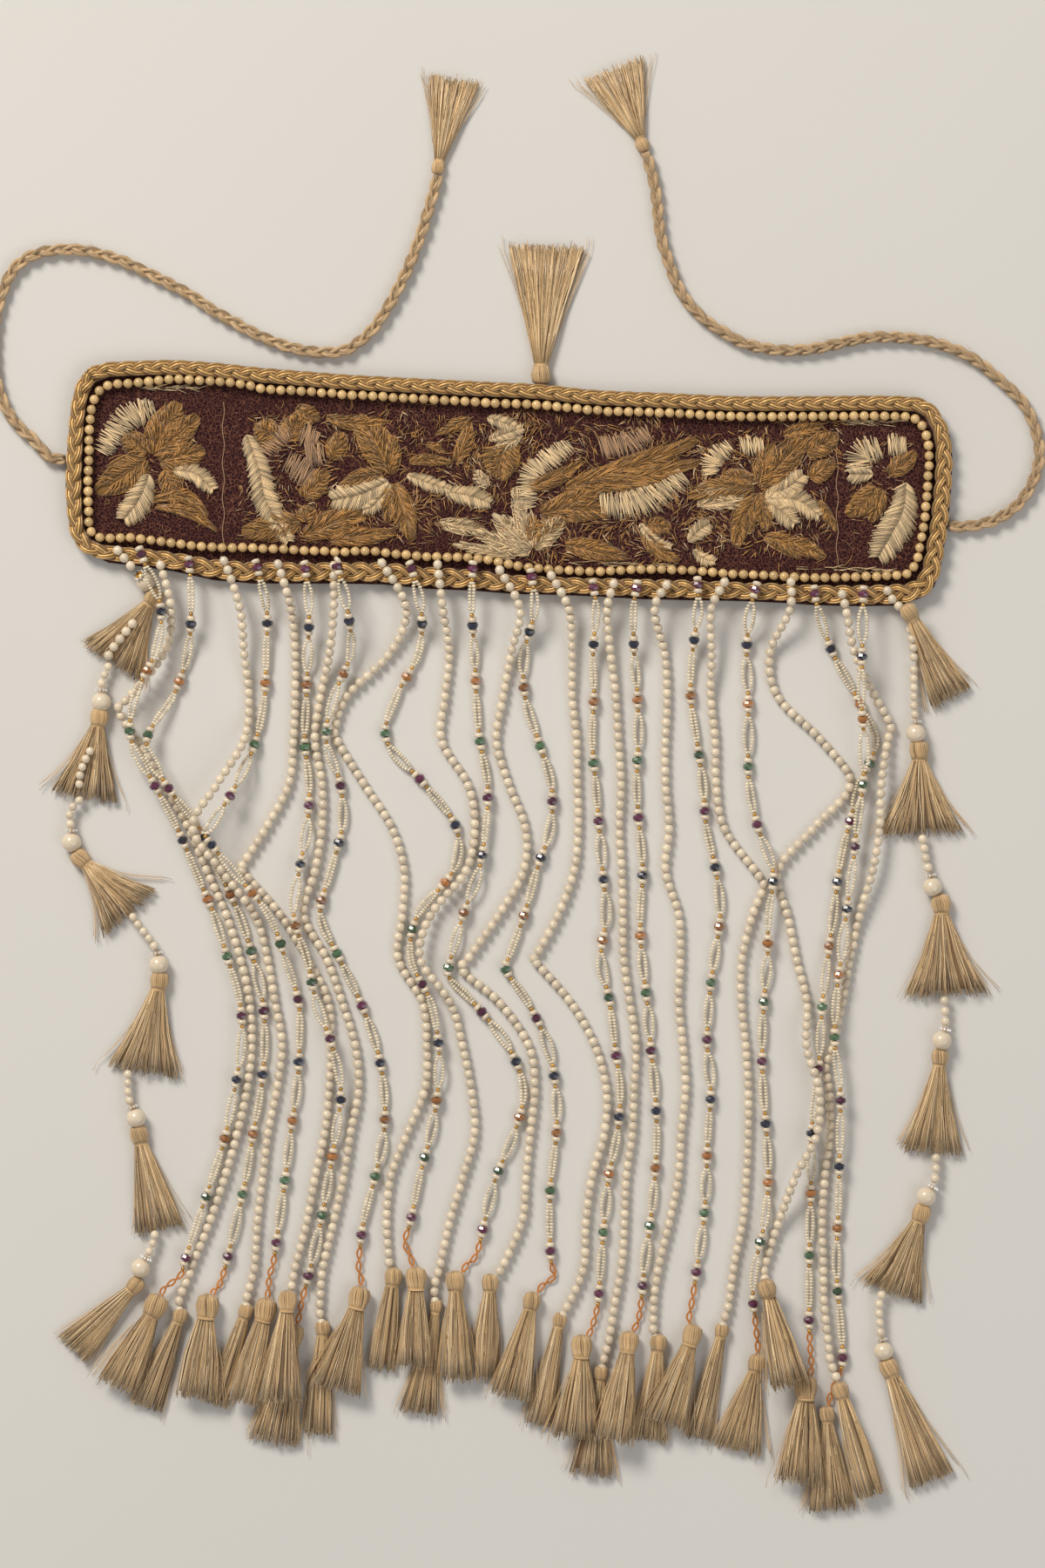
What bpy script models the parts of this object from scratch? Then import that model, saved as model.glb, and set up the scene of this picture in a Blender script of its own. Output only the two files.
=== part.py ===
"""Sehra: velvet band, two ties, 27 bead strands and two side strings, each strand with its tassel."""

import math

import bmesh
import bpy
import numpy as np

for old in list(bpy.data.objects):
    bpy.data.objects.remove(old, do_unlink=True)

# Millimetres to one pixel of the photo, and the pixel over the middle of the band's back.
PX = 0.36
MIDDLE_X = 584.0
MIDDLE_Y = 555.0

GAP = 0.35
PANEL_TOP = 3.0
BRAID_HALF_HEIGHT = 2.0
BORDER_RADIUS = 2.05
BORDER_Z = PANEL_TOP + 0.3 + BORDER_RADIUS
BRAID_Z = PANEL_TOP + 0.3 + BRAID_HALF_HEIGHT
STRING_RADIUS = 2.0
CHAIN_RADIUS = 1.1
TIE_RADIUS = 2.7
SLOPE = 0.55

# Band edge, in photo pixels: outer edge of the plaited braid, its inner edge.
BRAID_EDGES = [
    ((100, 426), (111, 439)), ((112, 419), (120, 435)), ((130, 416.5), (134, 433)), ((165, 416), (165, 431)),
    ((200, 416.5), (200, 429)), ((250, 420), (250, 432)), ((300, 425), (300, 438)), ((350, 429), (350, 442)),
    ((400, 433), (400, 446)), ((467, 436), (467, 450)), ((556, 440), (556, 455)), ((620, 443), (620, 458)),
    ((683, 450), (683, 464)), ((765, 454), (765, 467)), ((847, 457), (847, 471)), ((929, 457), (929, 471)),
    ((1000, 456), (1000, 471)), ((1045, 458), (1043, 471)), ((1062, 461), (1057, 475)), ((1075, 470), (1065, 484)),
    ((1085, 486), (1070, 496)), ((1091, 503), (1072, 508)), ((1093, 525), (1073, 525)), ((1092, 555), (1072, 555)),
    ((1090, 582), (1069, 580)), ((1087, 607), (1067, 603)), ((1083, 632), (1063, 628)), ((1079, 655), (1059, 648)),
    ((1072, 675), (1054, 659)), ((1058, 687), (1045, 668)), ((1035, 693), (1028, 671)), ((990, 694), (990, 672)),
    ((940, 693), (940, 672)), ((895, 690), (895, 670)), ((850, 688), (850, 669)), ((790, 687), (790, 666)),
    ((740, 686), (740, 665)), ((690, 683), (690, 664)), ((640, 681), (640, 663)), ((590, 680), (590, 660)),
    ((540, 676), (540, 654)), ((490, 674), (490, 651)), ((440, 669), (440, 646)), ((390, 668), (390, 646)),
    ((340, 668), (340, 646)), ((290, 668), (290, 645)), ((245, 664), (245, 642)), ((200, 654), (203, 635)),
    ((160, 648), (162, 630)), ((125, 644), (130, 627)), ((104, 637), (111, 625)), ((90, 627), (102, 618)),
    ((82, 613), (97, 606)), ((78, 592), (96, 590)), ((76, 560), (95, 560)), ((77, 525), (96, 525)),
    ((80, 490), (97, 492)), ((84, 460), (100, 464)), ((90, 440), (104, 449)),
]

# Row of golden pearls inside the braid.
BORDER_LINE = [
    (119, 445), (133, 442), (155, 441), (180, 438), (205, 436), (235, 438), (262, 440), (285, 443), (302, 447),
    (350, 450), (400, 454), (467, 458), (556, 463), (620, 466), (683, 472), (765, 475), (847, 479), (929, 479),
    (1000, 478.5), (1038, 479), (1050, 482), (1058, 490), (1063, 502), (1066, 520), (1065, 548), (1062.5, 578),
    (1060, 602), (1056, 625), (1053, 640), (1047, 653), (1038, 660), (1000, 662), (940, 664), (890, 661.5),
    (850, 660), (800, 656), (740, 654), (690, 656.5), (650, 655.5), (600, 651), (550, 642), (500, 640),
    (460, 637), (420, 633), (380, 634), (300, 630), (250, 629), (224, 627), (200, 624), (165, 619.5),
    (140, 617.5), (122, 618.5), (110, 615), (104, 606), (103, 590), (102, 560), (103, 525), (104, 492),
    (107, 468), (111, 455),
]

# Where each strand lies, in photo pixels: its sewn start, then x at every 50 pixels of y from 650 to 1450
# (None where it isn't there yet, or already ended), then further points, then where a thread chain begins.
LEVELS = range(650, 1451, 50)
STRANDS = {
    "mixed_01": ((161, 628), [169, 187, 180, 157, 152, 178, 204, 225, 246, 262, 276, 278, 270, 260, 245, 228, 212],
                 [(208, 1463), (189, 1478)], 1450),
    "pearl_01": ((184, 644), [186, 198, 189, 150, 158, 188, 217, 238, 260, 276, 287, 289, 284, 273, 259, 242, 222],
                 [(137, 815), (217, 1464), (212, 1475), (206, 1492)], None),
    "mixed_02": ((217, 639), [219, 221, 216, 199, 170, 192, 230, 252, 275, 291, 302, 304, 300, 291, 283, 272, 260],
                 [(252, 1475), (246, 1481)], 1450),
    "pearl_02": ((255, 640), [261, 277, 281, 286, 281, 251, 223, 257, 293, 307, 316, 324, 318, 308, 302, 296, 293],
                 [(290, 1465), (284, 1487)], None),
    "mixed_03": ((293, 643), [296, 307, 306, 304, 294, 273, 243, 270, 310, 328, 343, 344, 341, 334, 328, 321, 314],
                 [(238, 960), (310, 1462), (308, 1483)], 1439),
    "pearl_03": ((317, 644), [321, 335, 339, 339, 337, 332, 306, 279, 322, 353, 377, 380, 378, 373, 362, 353, 340],
                 [(277, 996), (336, 1472)], None),
    "mixed_04": ((350, 648), [351, 356, 354, 352, 350, 355, 353, 344, 338, 353, 364, 382, 392, 386, 378, 369, 358],
                 [(352, 1473), (347, 1492), (344, 1510)], 1478),
    "pearl_04": ((384, 645), [384, 384, 379, 368, 362, 370, 370, 362, 349, 375, 393, 408, 412, 403, 395, 384, 372],
                 [(369, 1472), (367, 1505)], None),
    "mixed_05": ((392, 645), [388, 400, 403, 384, 375, 391, 393, 380, 368, 390, 414, 432, 441, 441, 431, 418, 412],
                 [(415, 1468)], 1430),
    "pearl_05": ((435, 643), [441, 467, 448, 398, 387, 418, 450, 464, 462, 457, 485, 490, 488, 468, 449, 444, 447],
                 [(385, 838)], None),
    "mixed_06": ((470, 647), [472, 484, 481, 455, 444, 487, 524, 520, 480, 472, 495, 504, 503, 495, 482, 472, None],
                 [(465, 1425), (471, 1440)], 1407),
    "pearl_06": ((503, 643), [503, 509, 516, 511, 507, 537, 545, 535, 495, 483, 517, 531, 541, 545, 532, 517, 506],
                 [(500, 1472), (499, 1484)], None),
    "mixed_07": ((544, 647), [543, 542, 545, 547, 551, 560, 558, 550, 532, 518, 543, 583, 601, 591, 570, 557, None],
                 [(516, 1122), (547, 1440), (536, 1451)], 1424),
    "pearl_07": ((571, 650), [None, 597, 587, 578, 570, 584, 603, 601, 573, 538, 573, 607, 614, 609, 604, 600, 579],
                 [(531, 1114), (574, 1459)], None),
    "mixed_08": ((609, 653), [None, 614, 602, 603, 618, 633, 632, 616, 602, 584, 606, 629, 638, 639, 633, 631, 633],
                 [(581, 1114), (637, 1464), (622, 1476)], 1448),
    "pearl_08": ((630, 656), [None, 653, 657, 657, 662, 663, 664, 659, 641, 614, 655, 683, 696, 694, 680, 673, 671],
                 [(614, 1103), (661, 1480), (650, 1502)], None),
    "mixed_09": ((680, 665), [None, 684, 681, 682, 680, 684, 688, 692, 696, 690, 700, 706, 712, 709, 699, 694, 690],
                 [(687, 1492), (683, 1512), (678, 1528)], 1496),
    "pearl_09": ((706, 665), [None, 697, 701, 707, 710, 713, 711, 714, 715, 716, 723, 730, 728, 726, 719, 717, 714],
                 [(706, 1495), (699, 1538), (693, 1562)], None),
    "mixed_10": ((732, 666), [None, 727, 728, 732, 733, 731, 734, 738, 735, 737, 743, 747, 752, 754, 752, 747, 740],
                 [(737, 1485), (733, 1515), (728, 1525)], 1486),
    "pearl_10": ((768, 667), [None, 751, 763, 766, 764, 764, 768, 764, 779, 781, 779, 784, 787, 782, 779, 769, 757],
                 [(751, 1490), (750, 1526)], None),
    "mixed_11": ((800, 662), [None, 801, 795, 793, 800, 807, 811, 822, 827, 820, 814, 812, 816, 813, 811, 808, 801],
                 [(795, 1490), (791, 1512)], 1473),
    "pearl_11": ((834, 664), [None, 816, 817, 816, 821, 822, 831, 867, 864, 852, 851, 856, 859, 859, 857, 853, 843],
                 [(877, 1017), (836, 1500), (832, 1512)], None),
    "mixed_12": ((869, 668), [None, 861, 857, 859, 859, 860, 870, 887, 882, 881, 877, 875, 876, 880, 882, 878, 867],
                 [(864, 1485), (866, 1506), (870, 1545)], 1508),
    "pearl_12": ((907, 663), [None, 906, 884, 893, 943, 976, 935, 893, 904, 914, 926, 925, 939, 937, 912, 895, 879],
                 [(877, 1461)], None),
    "mixed_13": ((933, 672), [None, 938, 956, 983, 1005, 988, 974, 963, 957, 950, 944, 941, 937, 931, 931, 930, 929],
                 [(929, 1524), (932, 1570)], 1526),
    "pearl_13": ((964, 677), [None, 970, 980, 1004, 1019, 1011, 1009, 1001, 987, 976, 967, 956, 952, 953, 947, 944, 945],
                 [(1022, 833), (948, 1225), (946, 1495), (951, 1545), (953, 1562), (959, 1578)], None),
    "mixed_14": ((990, 673), [None, 989, 988, 987, 991, 990, 983, 978, 971, 965, 959, 958, 964, 964, 963, 962, 960],
                 [(963, 1495), (967, 1545), (967, 1567), (962, 1580), (953, 1602)], 1568),
}

# Tassels, in photo pixels: head middle, head width, skirt end, end width, width halfway down the skirt.
TASSELS = {
    "mixed_01": ((180, 1497), 26, (134, 1590), 52, 40),
    "pearl_01": ((208, 1509), 17, (168, 1614), 38, 28),
    "mixed_02": ((239, 1497), 26, (227, 1603), 50, 42),
    "pearl_02": ((283, 1504), 17, (249, 1611), 28, 24),
    "mixed_03": ((306, 1501), 25, (280, 1608), 34, 32),
    "pearl_03": ((331, 1490), 21, (323, 1606), 52, 36),
    "mixed_04": ((338, 1530), 22, (316, 1655), 62, 40),
    "pearl_04": ((371, 1523), 17, (366, 1645), 34, 28),
    "mixed_05": ((413, 1487), 24, (385, 1593), 62, 42),
    "pearl_05": ((452, 1464), 20, (438, 1570), 32, 27),
    "mixed_06": ((478, 1465), 24, (477, 1566), 40, 33),
    "pearl_06": ((501, 1498), 15, (480, 1620), 48, 28),
    "mixed_07": ((523, 1469), 22, (525, 1582), 40, 33),
    "pearl_07": ((563, 1471), 19, (557, 1580), 26, 30),
    "mixed_08": ((611, 1492), 20, (586, 1602), 48, 34),
    "pearl_08": ((643, 1514), 16, (618, 1634), 34, 24),
    "mixed_09": ((668, 1543), 24, (660, 1648), 56, 42),
    "pearl_09": ((690, 1575), 17, (679, 1692), 52, 32),
    "mixed_10": ((722, 1538), 22, (703, 1650), 40, 34),
    "pearl_10": ((756, 1540), 19, (746, 1652), 46, 30),
    "mixed_11": ((795, 1530), 22, (763, 1632), 50, 36),
    "pearl_11": ((829, 1526), 16, (801, 1649), 30, 24),
    "mixed_12": ((869, 1563), 20, (846, 1664), 58, 40),
    "pearl_12": ((879, 1476), 21, (905, 1588), 48, 36),
    "mixed_13": ((925, 1590), 26, (918, 1699), 54, 42),
    "pearl_13": ((964, 1594), 19, (999, 1715), 32, 28),
    "mixed_14": ((949, 1622), 18, (954, 1732), 62, 38),
}

# Which lies over which, lowest first: for the strings, then for the tassels under them.
STRING_PILE = [
    "pearl_01", "pearl_03", "pearl_04", "pearl_05", "pearl_07", "pearl_08", "pearl_09", "pearl_10", "pearl_11",
    "pearl_13", "mixed_13", "pearl_12", "mixed_01", "mixed_02", "pearl_02", "mixed_03", "mixed_04", "mixed_05",
    "mixed_06", "pearl_06", "mixed_07", "mixed_08", "mixed_09", "mixed_10", "mixed_11", "mixed_12", "mixed_14",
]
TASSEL_PILE = [
    "mixed_04", "pearl_04", "pearl_06", "pearl_09", "mixed_14", "pearl_10", "pearl_01", "pearl_02", "pearl_05",
    "pearl_07", "pearl_08", "pearl_11", "mixed_01", "mixed_02", "mixed_03", "pearl_03", "mixed_05", "mixed_06",
    "mixed_07", "mixed_08", "mixed_09", "mixed_10", "mixed_11", "mixed_12", "mixed_13", "pearl_13", "pearl_12",
]

# Side strings, top to bottom: pearls' route, big pearl (None where there is none), tassel as above.
BIG_RADIUS = 3.9
LEFT_DROPS = [
    ([(134, 628), (140, 637), (148, 645), (155, 655)], (168, 668), ((178, 685), 21, (127, 760), 84, 46)),
    ([(123, 767), (118, 782), (117, 793)], (117, 806), ((115, 822), 21, (98, 915), 80, 46)),
    ([(95, 919), (82, 930), (82, 948), (84, 953)], (83, 967), ((92, 984), 21, (150, 1048), 88, 46)),
    ([(153, 1051), (160, 1062), (174, 1080), (180, 1090)], (183, 1107), ((184, 1124), 21, (165, 1230), 84, 46)),
    ([(147, 1231), (148, 1255), (151, 1268)], (157, 1283), ((160, 1301), 21, (184, 1410), 58, 38)),
    ([(180, 1414), (176, 1427), (169, 1442)], (162, 1455), ((157, 1474), 19, (84, 1548), 46, 32)),
]
RIGHT_DROPS = [
    ([(1015, 674), (1020, 684), (1026, 693), (1031, 697)], None, ((1042, 703), 20, (1092, 800), 52, 34)),
    ([(1048.8, 764), (1048.8, 780), (1049, 796), (1049, 813), (1051, 826)], (1051, 842), ((1055, 860), 22, (1057, 957), 100, 54)),
    ([(1058, 961), (1063, 988), (1067, 1001)], (1070, 1018), ((1080, 1036), 22, (1086, 1142), 98, 52)),
    ([(1084, 1147), (1085, 1174), (1085, 1180)], (1081, 1194), ((1079, 1212), 19, (1069, 1322), 74, 42)),
    ([(1074, 1327), (1074, 1345), (1072, 1358)], (1063, 1373), ((1058, 1391), 21, (1024, 1484), 74, 42)),
    ([(1013, 1483), (1009, 1497), (1011, 1535)], (1014, 1550), ((1020, 1568), 22, (1070, 1698), 54, 36)),
]

LEFT_TIE = [
    (75.3, 527), (60, 527), (50, 518), (38, 504), (22, 490), (8, 470), (-3, 440), (-7, 405), (-5, 370), (2, 340),
    (14, 313), (30, 298), (50, 290), (80, 287), (110, 291), (140, 300), (170, 314), (200, 329), (225, 343),
    (245, 357), (268, 370), (292, 383), (315, 393), (340, 401), (368, 405), (395, 403), (415, 391), (430, 376),
    (445, 354), (459, 328), (470, 305), (478, 284), (486, 262), (493, 238), (500, 214), (502.5, 202.5),
]
RIGHT_TIE = [
    (1089, 605), (1115, 604), (1140, 598), (1158, 588), (1172, 575), (1183, 558), (1190, 540), (1193, 520),
    (1190, 500), (1184, 482), (1174, 463), (1160, 448), (1143, 433), (1125, 418), (1105, 406), (1082, 397),
    (1058, 391), (1030, 388), (1000, 388), (975, 392), (950, 398), (925, 402), (900, 403), (875, 400),
    (852, 394), (832, 383), (812, 370), (797, 356), (784, 340), (774, 320), (767, 300), (760, 278), (756, 255),
    (754, 232), (751, 212), (746, 192), (741, 176.3),
]
TOP_TASSEL = ((621, 432), 22, (627, 284), 90, 52)
LEFT_TIE_TASSEL = ((503, 194), 15, (521, 92), 60, 36)
RIGHT_TIE_TASSEL = ((738, 168), 16, (704, 80), 76, 46)

ROUND_SIDES = 6


def flat(point):
    """A photo pixel as millimetres on the floor."""
    return np.array([(point[0] - MIDDLE_X) * PX, (MIDDLE_Y - point[1]) * PX])


def smooth(points, step=1.5):
    """A Catmull-Rom line through the points, a dot every step millimetres or so."""
    points = np.array(points, float)
    padded = np.vstack([2 * points[0] - points[1], points, 2 * points[-1] - points[-2]])
    line = []
    for i in range(len(points) - 1):
        before, start, end, after = padded[i : i + 4]
        count = max(2, int(np.linalg.norm(end - start) / step))
        for t in np.arange(count) / count:
            line.append(
                0.5 * (2 * start + (end - before) * t + (2 * before - 5 * start + 4 * end - after) * t**2
                       + (3 * start - before - 3 * end + after) * t**3)
            )
    line.append(points[-1])
    return np.array(line)


def thinned(line, tolerance, longest):
    """The fewest dots that keep the line within tolerance, none further apart than longest."""
    keep = {0, len(line) - 1}
    spans = [(0, len(line) - 1)]
    while spans:
        low, high = spans.pop()
        if high - low < 2:
            continue
        chord = line[high] - line[low]
        length = np.linalg.norm(chord)
        away = line[low + 1 : high] - line[low]
        off = np.abs(away[:, 0] * chord[1] - away[:, 1] * chord[0]) / max(length, 1e-9)
        worst = int(off.argmax())
        if off[worst] > tolerance or length > longest:
            middle = low + 1 + worst if off[worst] > tolerance else (low + high) // 2
            keep.add(middle)
            spans += [(low, middle), (middle, high)]
    return line[sorted(keep)]


class Pile:
    """Dots of all that already lies there: place, height, half width, half height, whether it is a round string."""

    def __init__(self):
        self.dots = np.zeros((0, 6))

    def add(self, dots):
        self.dots = np.vstack([self.dots, dots])

    def clear_height(self, place, half_width, half_height, is_round):
        """The lowest middle height at which such a section clears the floor, the band and the dots below it."""
        height = half_height
        x = place[0] / PX + MIDDLE_X
        y = MIDDLE_Y - place[1] / PX
        if y < np.interp(x, BOTTOM_X, BOTTOM_Y) + (half_width + GAP) / PX and 76 < x < 1093:
            height = max(height, PANEL_TOP + GAP + half_height)
        near = self.dots[np.hypot(self.dots[:, 0] - place[0], self.dots[:, 1] - place[1]) < 40]
        if not len(near):
            return height
        distance = np.hypot(near[:, 0] - place[0], near[:, 1] - place[1])
        reach = half_width + near[:, 3] + GAP
        rise = half_height + near[:, 4] + GAP
        both_round = is_round & (near[:, 5] > 0.5)
        stacked = np.where(
            both_round, rise * np.sqrt(np.clip(1 - (distance / reach) ** 2, 0, 1)), rise
        )
        over = distance < reach
        return max([height, *(near[over, 2] + stacked[over])])


def sections_between(stations):
    """Places about a millimetre apart along each span of the stations (x, y, half width, half height)."""
    spans = []
    for start, end in zip(stations[:-1], stations[1:]):
        count = max(2, int(np.linalg.norm(end[:2] - start[:2]) / 1.0) + 1)
        spans.append([start + (end - start) * t for t in np.linspace(0, 1, count)])
    return spans


def settle(pile, stations, is_round, slope=SLOPE, least=0.0):
    """Heights at which the stations clear the pile, no span steeper than slope; then they join the pile."""
    spans = sections_between(stations)
    needs = [max(pile.clear_height(s[:2], s[2], s[3], is_round) for s in span) for span in spans]
    heights = np.array([max(needs[max(i - 1, 0) : i + 1]) for i in range(len(stations))])
    heights = np.maximum(heights, least)
    steps = np.linalg.norm(np.diff(stations[:, :2], axis=0), axis=1)
    for i in range(1, len(heights)):
        heights[i] = max(heights[i], heights[i - 1] - slope * steps[i - 1])
    for i in range(len(heights) - 2, -1, -1):
        heights[i] = max(heights[i], heights[i + 1] - slope * steps[i])
    dots = []
    for i, span in enumerate(spans):
        for k, s in enumerate(span):
            t = k / (len(span) - 1)
            z = heights[i] * (1 - t) + heights[i + 1] * t
            dots.append((s[0], s[1], z, s[2], s[3], float(is_round)))
    pile.add(np.array(dots))
    return heights


def headings(places):
    """Unit direction of travel at each place, the mean of its two spans."""
    ways = np.diff(places, axis=0)
    ways /= np.maximum(np.linalg.norm(ways, axis=1), 1e-9)[:, None]
    at = np.vstack([ways[:1], ways[:-1] + ways[1:], ways[-1:]])
    return at / np.linalg.norm(at, axis=1)[:, None]


def ring(place, height, way, pitch, half_width, half_height, sides=ROUND_SIDES, lock=1.0, tip=0.0):
    """Corner points of one cross-section; lock under 1 makes every second corner a groove, tip draws it back."""
    side = np.array([way[1], -way[0], 0.0])
    along = np.array([way[0] * math.cos(pitch), way[1] * math.cos(pitch), math.sin(pitch)])
    up = np.array([-way[0] * math.sin(pitch), -way[1] * math.sin(pitch), math.cos(pitch)])
    middle = np.array([place[0], place[1], height])
    corners = []
    for k in range(sides):
        angle = math.pi / 2 + 2 * math.pi * k / sides
        grooved = sides > ROUND_SIDES and k % 2
        size = lock if grooved else 1.0
        back = -tip if grooved else tip
        corners.append(
            middle + size * half_width * math.cos(angle) * side + size * half_height * math.sin(angle) * up
            + back * along
        )
    return corners


def body(name, rings, material, closed_loop=False):
    """One closed body lofted through the rings."""
    shape = bmesh.new()
    loops = [[shape.verts.new([c * 0.001 for c in corner]) for corner in corners] for corners in rings]
    pairs = list(zip(loops[:-1], loops[1:]))
    if closed_loop:
        pairs.append((loops[-1], loops[0]))
    for low, high in pairs:
        count = len(low)
        for k in range(count):
            nxt = (k + 1) % count
            if len(high) == count:
                shape.faces.new([low[k], low[nxt], high[nxt], high[k]])
            else:
                shape.faces.new([low[k], high[2 * k + 1], high[2 * k]])
                shape.faces.new([low[k], low[nxt], high[2 * k + 1]])
                shape.faces.new([low[nxt], high[(2 * k + 2) % len(high)], high[2 * k + 1]])
    if not closed_loop:
        for loop in (loops[0], loops[-1]):
            middle = shape.verts.new(sum((v.co for v in loop), loop[0].co * 0) / len(loop))
            for k, corner in enumerate(loop):
                shape.faces.new([corner, loop[(k + 1) % len(loop)], middle])
    bmesh.ops.recalc_face_normals(shape, faces=shape.faces)
    mesh = bpy.data.meshes.new(name)
    shape.to_mesh(mesh)
    shape.free()
    made = bpy.data.objects.new(name, mesh)
    made.data.materials.append(material)
    bpy.context.scene.collection.objects.link(made)
    return made


def material(name, color, roughness, metallic=0.0):
    made = bpy.data.materials.new(name)
    made.use_nodes = True
    shader = made.node_tree.nodes["Principled BSDF"]
    shader.inputs["Base Color"].default_value = (*color, 1.0)
    shader.inputs["Roughness"].default_value = roughness
    shader.inputs["Metallic"].default_value = metallic
    return made


velvet = material("velvet", (0.07, 0.012, 0.016), 0.9)
gold_braid = material("gold_braid", (0.52, 0.30, 0.09), 0.45)
silk = material("silk", (0.42, 0.25, 0.10), 0.55)
pearl = material("pearl", (0.75, 0.62, 0.44), 0.25)
golden_pearl = material("golden_pearl", (0.68, 0.42, 0.16), 0.25)
seed = material("seed_bead", (0.72, 0.58, 0.38), 0.3)

# Bottom edge of the band, left to right.
bottom = sorted((edge[0] for edge in BRAID_EDGES if edge[0][1] > 600), key=lambda p: p[0])
BOTTOM_X = [76] + [p[0] for p in bottom] + [1093]
BOTTOM_Y = [600] + [p[1] for p in bottom] + [620]


def tassel_parts(spec):
    """Sections down a tassel: (place along the photo floor, half width, half height) and its direction."""
    head, width, end, end_width, middle_width = spec
    top = flat(head)
    foot = flat(end)
    way = (foot - top) / np.linalg.norm(foot - top)
    length = np.linalg.norm(foot - top)
    w = width * PX
    head_rows = [
        (-0.46 * w, 0.24 * w, 0.22 * w), (-0.30 * w, 0.42 * w, 0.36 * w), (0.05 * w, 0.50 * w, 0.42 * w),
        (0.34 * w, 0.43 * w, 0.38 * w), (0.52 * w, 0.36 * w, 0.30 * w),
    ]
    skirt_rows = [
        (0.66 * w, 0.42 * w, min(0.34 * w, 2.6)),
        (0.5 * (length + 0.6 * w), middle_width * PX / 2, 2.1),
        (length - 0.6, end_width * PX / 2, 1.6),
    ]
    return top, way, head_rows, skirt_rows


def tassel_stations(spec):
    top, way, head_rows, skirt_rows = tassel_parts(spec)
    return np.array([[*(top + way * d), a, b] for d, a, b in head_rows + skirt_rows])


def tassel_rings(spec, heights):
    top, way, head_rows, skirt_rows = tassel_parts(spec)
    rings = []
    for i, (d, a, b) in enumerate(head_rows + skirt_rows):
        in_skirt = i >= len(head_rows)
        last = i == len(head_rows) + len(skirt_rows) - 1
        sides = 2 * ROUND_SIDES if in_skirt else ROUND_SIDES
        lock = 0.86 if in_skirt else 1.0
        rings.append(ring(top + way * d, heights[i], way, 0.0, a, b, sides, lock, 0.4 if last else 0.0))
    return rings


def string_rings(stations, heights):
    ways = headings(stations[:, :2])
    steps = np.linalg.norm(np.diff(stations[:, :2], axis=0), axis=1)
    pitches = np.arctan2(np.diff(heights), steps)
    pitches = np.concatenate([pitches[:1], (pitches[:-1] + pitches[1:]) / 2, pitches[-1:]])
    return [
        ring(s[:2], heights[i], ways[i], pitches[i], s[2], s[3]) for i, s in enumerate(stations)
    ]


# Band.
outline = [edge[0] for edge in BRAID_EDGES]
panel_rings = []
for z in (0.0, PANEL_TOP):
    row = []
    for x, y in outline:
        below = 2.0 if y > 640 and 110 < x < 1050 else -1.0
        toward = 1.0 if y > MIDDLE_Y else -1.0
        place = flat((x, y + toward * below))
        row.append(np.array([place[0], place[1], z]))
    panel_rings.append(row)
body("band_panel", panel_rings, velvet)

pile = Pile()


def edge_loop(name, line, half_widths, half_height, height, sides, used):
    count = len(line)
    around = [line[(i + 1) % count] - line[i - 1] for i in range(count)]
    rings = []
    for i in range(count):
        way = around[i] / np.linalg.norm(around[i])
        side = np.array([way[1], -way[0], 0.0])
        middle = np.array([line[i][0], line[i][1], height])
        corners = []
        for k in range(sides):
            angle = math.pi / 2 + 2 * math.pi * k / sides
            corners.append(
                middle + half_widths[i] * math.cos(angle) * side
                + np.array([0, 0, half_height * math.sin(angle)])
            )
        rings.append(corners)
    body(name, rings, used, closed_loop=True)
    for i in range(count):
        start, end = line[i], line[(i + 1) % count]
        steps = max(2, int(np.linalg.norm(end - start)))
        for t in np.arange(steps) / steps:
            place = start + (end - start) * t
            wide = half_widths[i] * (1 - t) + half_widths[(i + 1) % count] * t
            pile.add(np.array([[place[0], place[1], height, wide, half_height, 0.0]]))


braid_line = [(flat(outer) + flat(inner)) / 2 for outer, inner in BRAID_EDGES]
braid_widths = [np.linalg.norm(flat(outer) - flat(inner)) / 2 for outer, inner in BRAID_EDGES]
edge_loop("border_braid", braid_line, braid_widths, BRAID_HALF_HEIGHT, BRAID_Z, 8, gold_braid)
border_line = [flat(p) for p in BORDER_LINE]
edge_loop("border_pearls", border_line, [BORDER_RADIUS] * len(border_line), BORDER_RADIUS, BORDER_Z, 6, golden_pearl)


def loose_tassel(name, spec):
    stations = tassel_stations(spec)
    body(name, tassel_rings(spec, stations[:, 3]), silk)


loose_tassel("top_tassel", TOP_TASSEL)
loose_tassel("tie_tassel_left", LEFT_TIE_TASSEL)
loose_tassel("tie_tassel_right", RIGHT_TIE_TASSEL)


def tie(name, route):
    line = thinned(smooth([flat(p) for p in route]), 0.35, 14.0)
    curve = bpy.data.curves.new(name, "CURVE")
    curve.dimensions = "3D"
    curve.bevel_depth = TIE_RADIUS * 0.001
    curve.bevel_resolution = 2
    curve.use_fill_caps = True
    spline = curve.splines.new("POLY")
    spline.points.add(len(line) - 1)
    for point, place in zip(spline.points, line):
        point.co = (place[0] * 0.001, place[1] * 0.001, (TIE_RADIUS + 0.02) * 0.001, 1.0)
    made = bpy.data.objects.new(name, curve)
    made.data.materials.append(silk)
    bpy.context.scene.collection.objects.link(made)


tie("tie_left", LEFT_TIE)
tie("tie_right", RIGHT_TIE)


def from_skirt(route, spec):
    """The route moved up or down so that it begins just clear of the tassel's ends above it."""
    foot = flat(spec[2])
    way = foot - flat(spec[0])
    way /= np.linalg.norm(way)
    start = flat(route[0])
    start = start + way * (0.2 - (start - foot) @ way)
    return [start] + [flat(p) for p in route[1:]]


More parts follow.
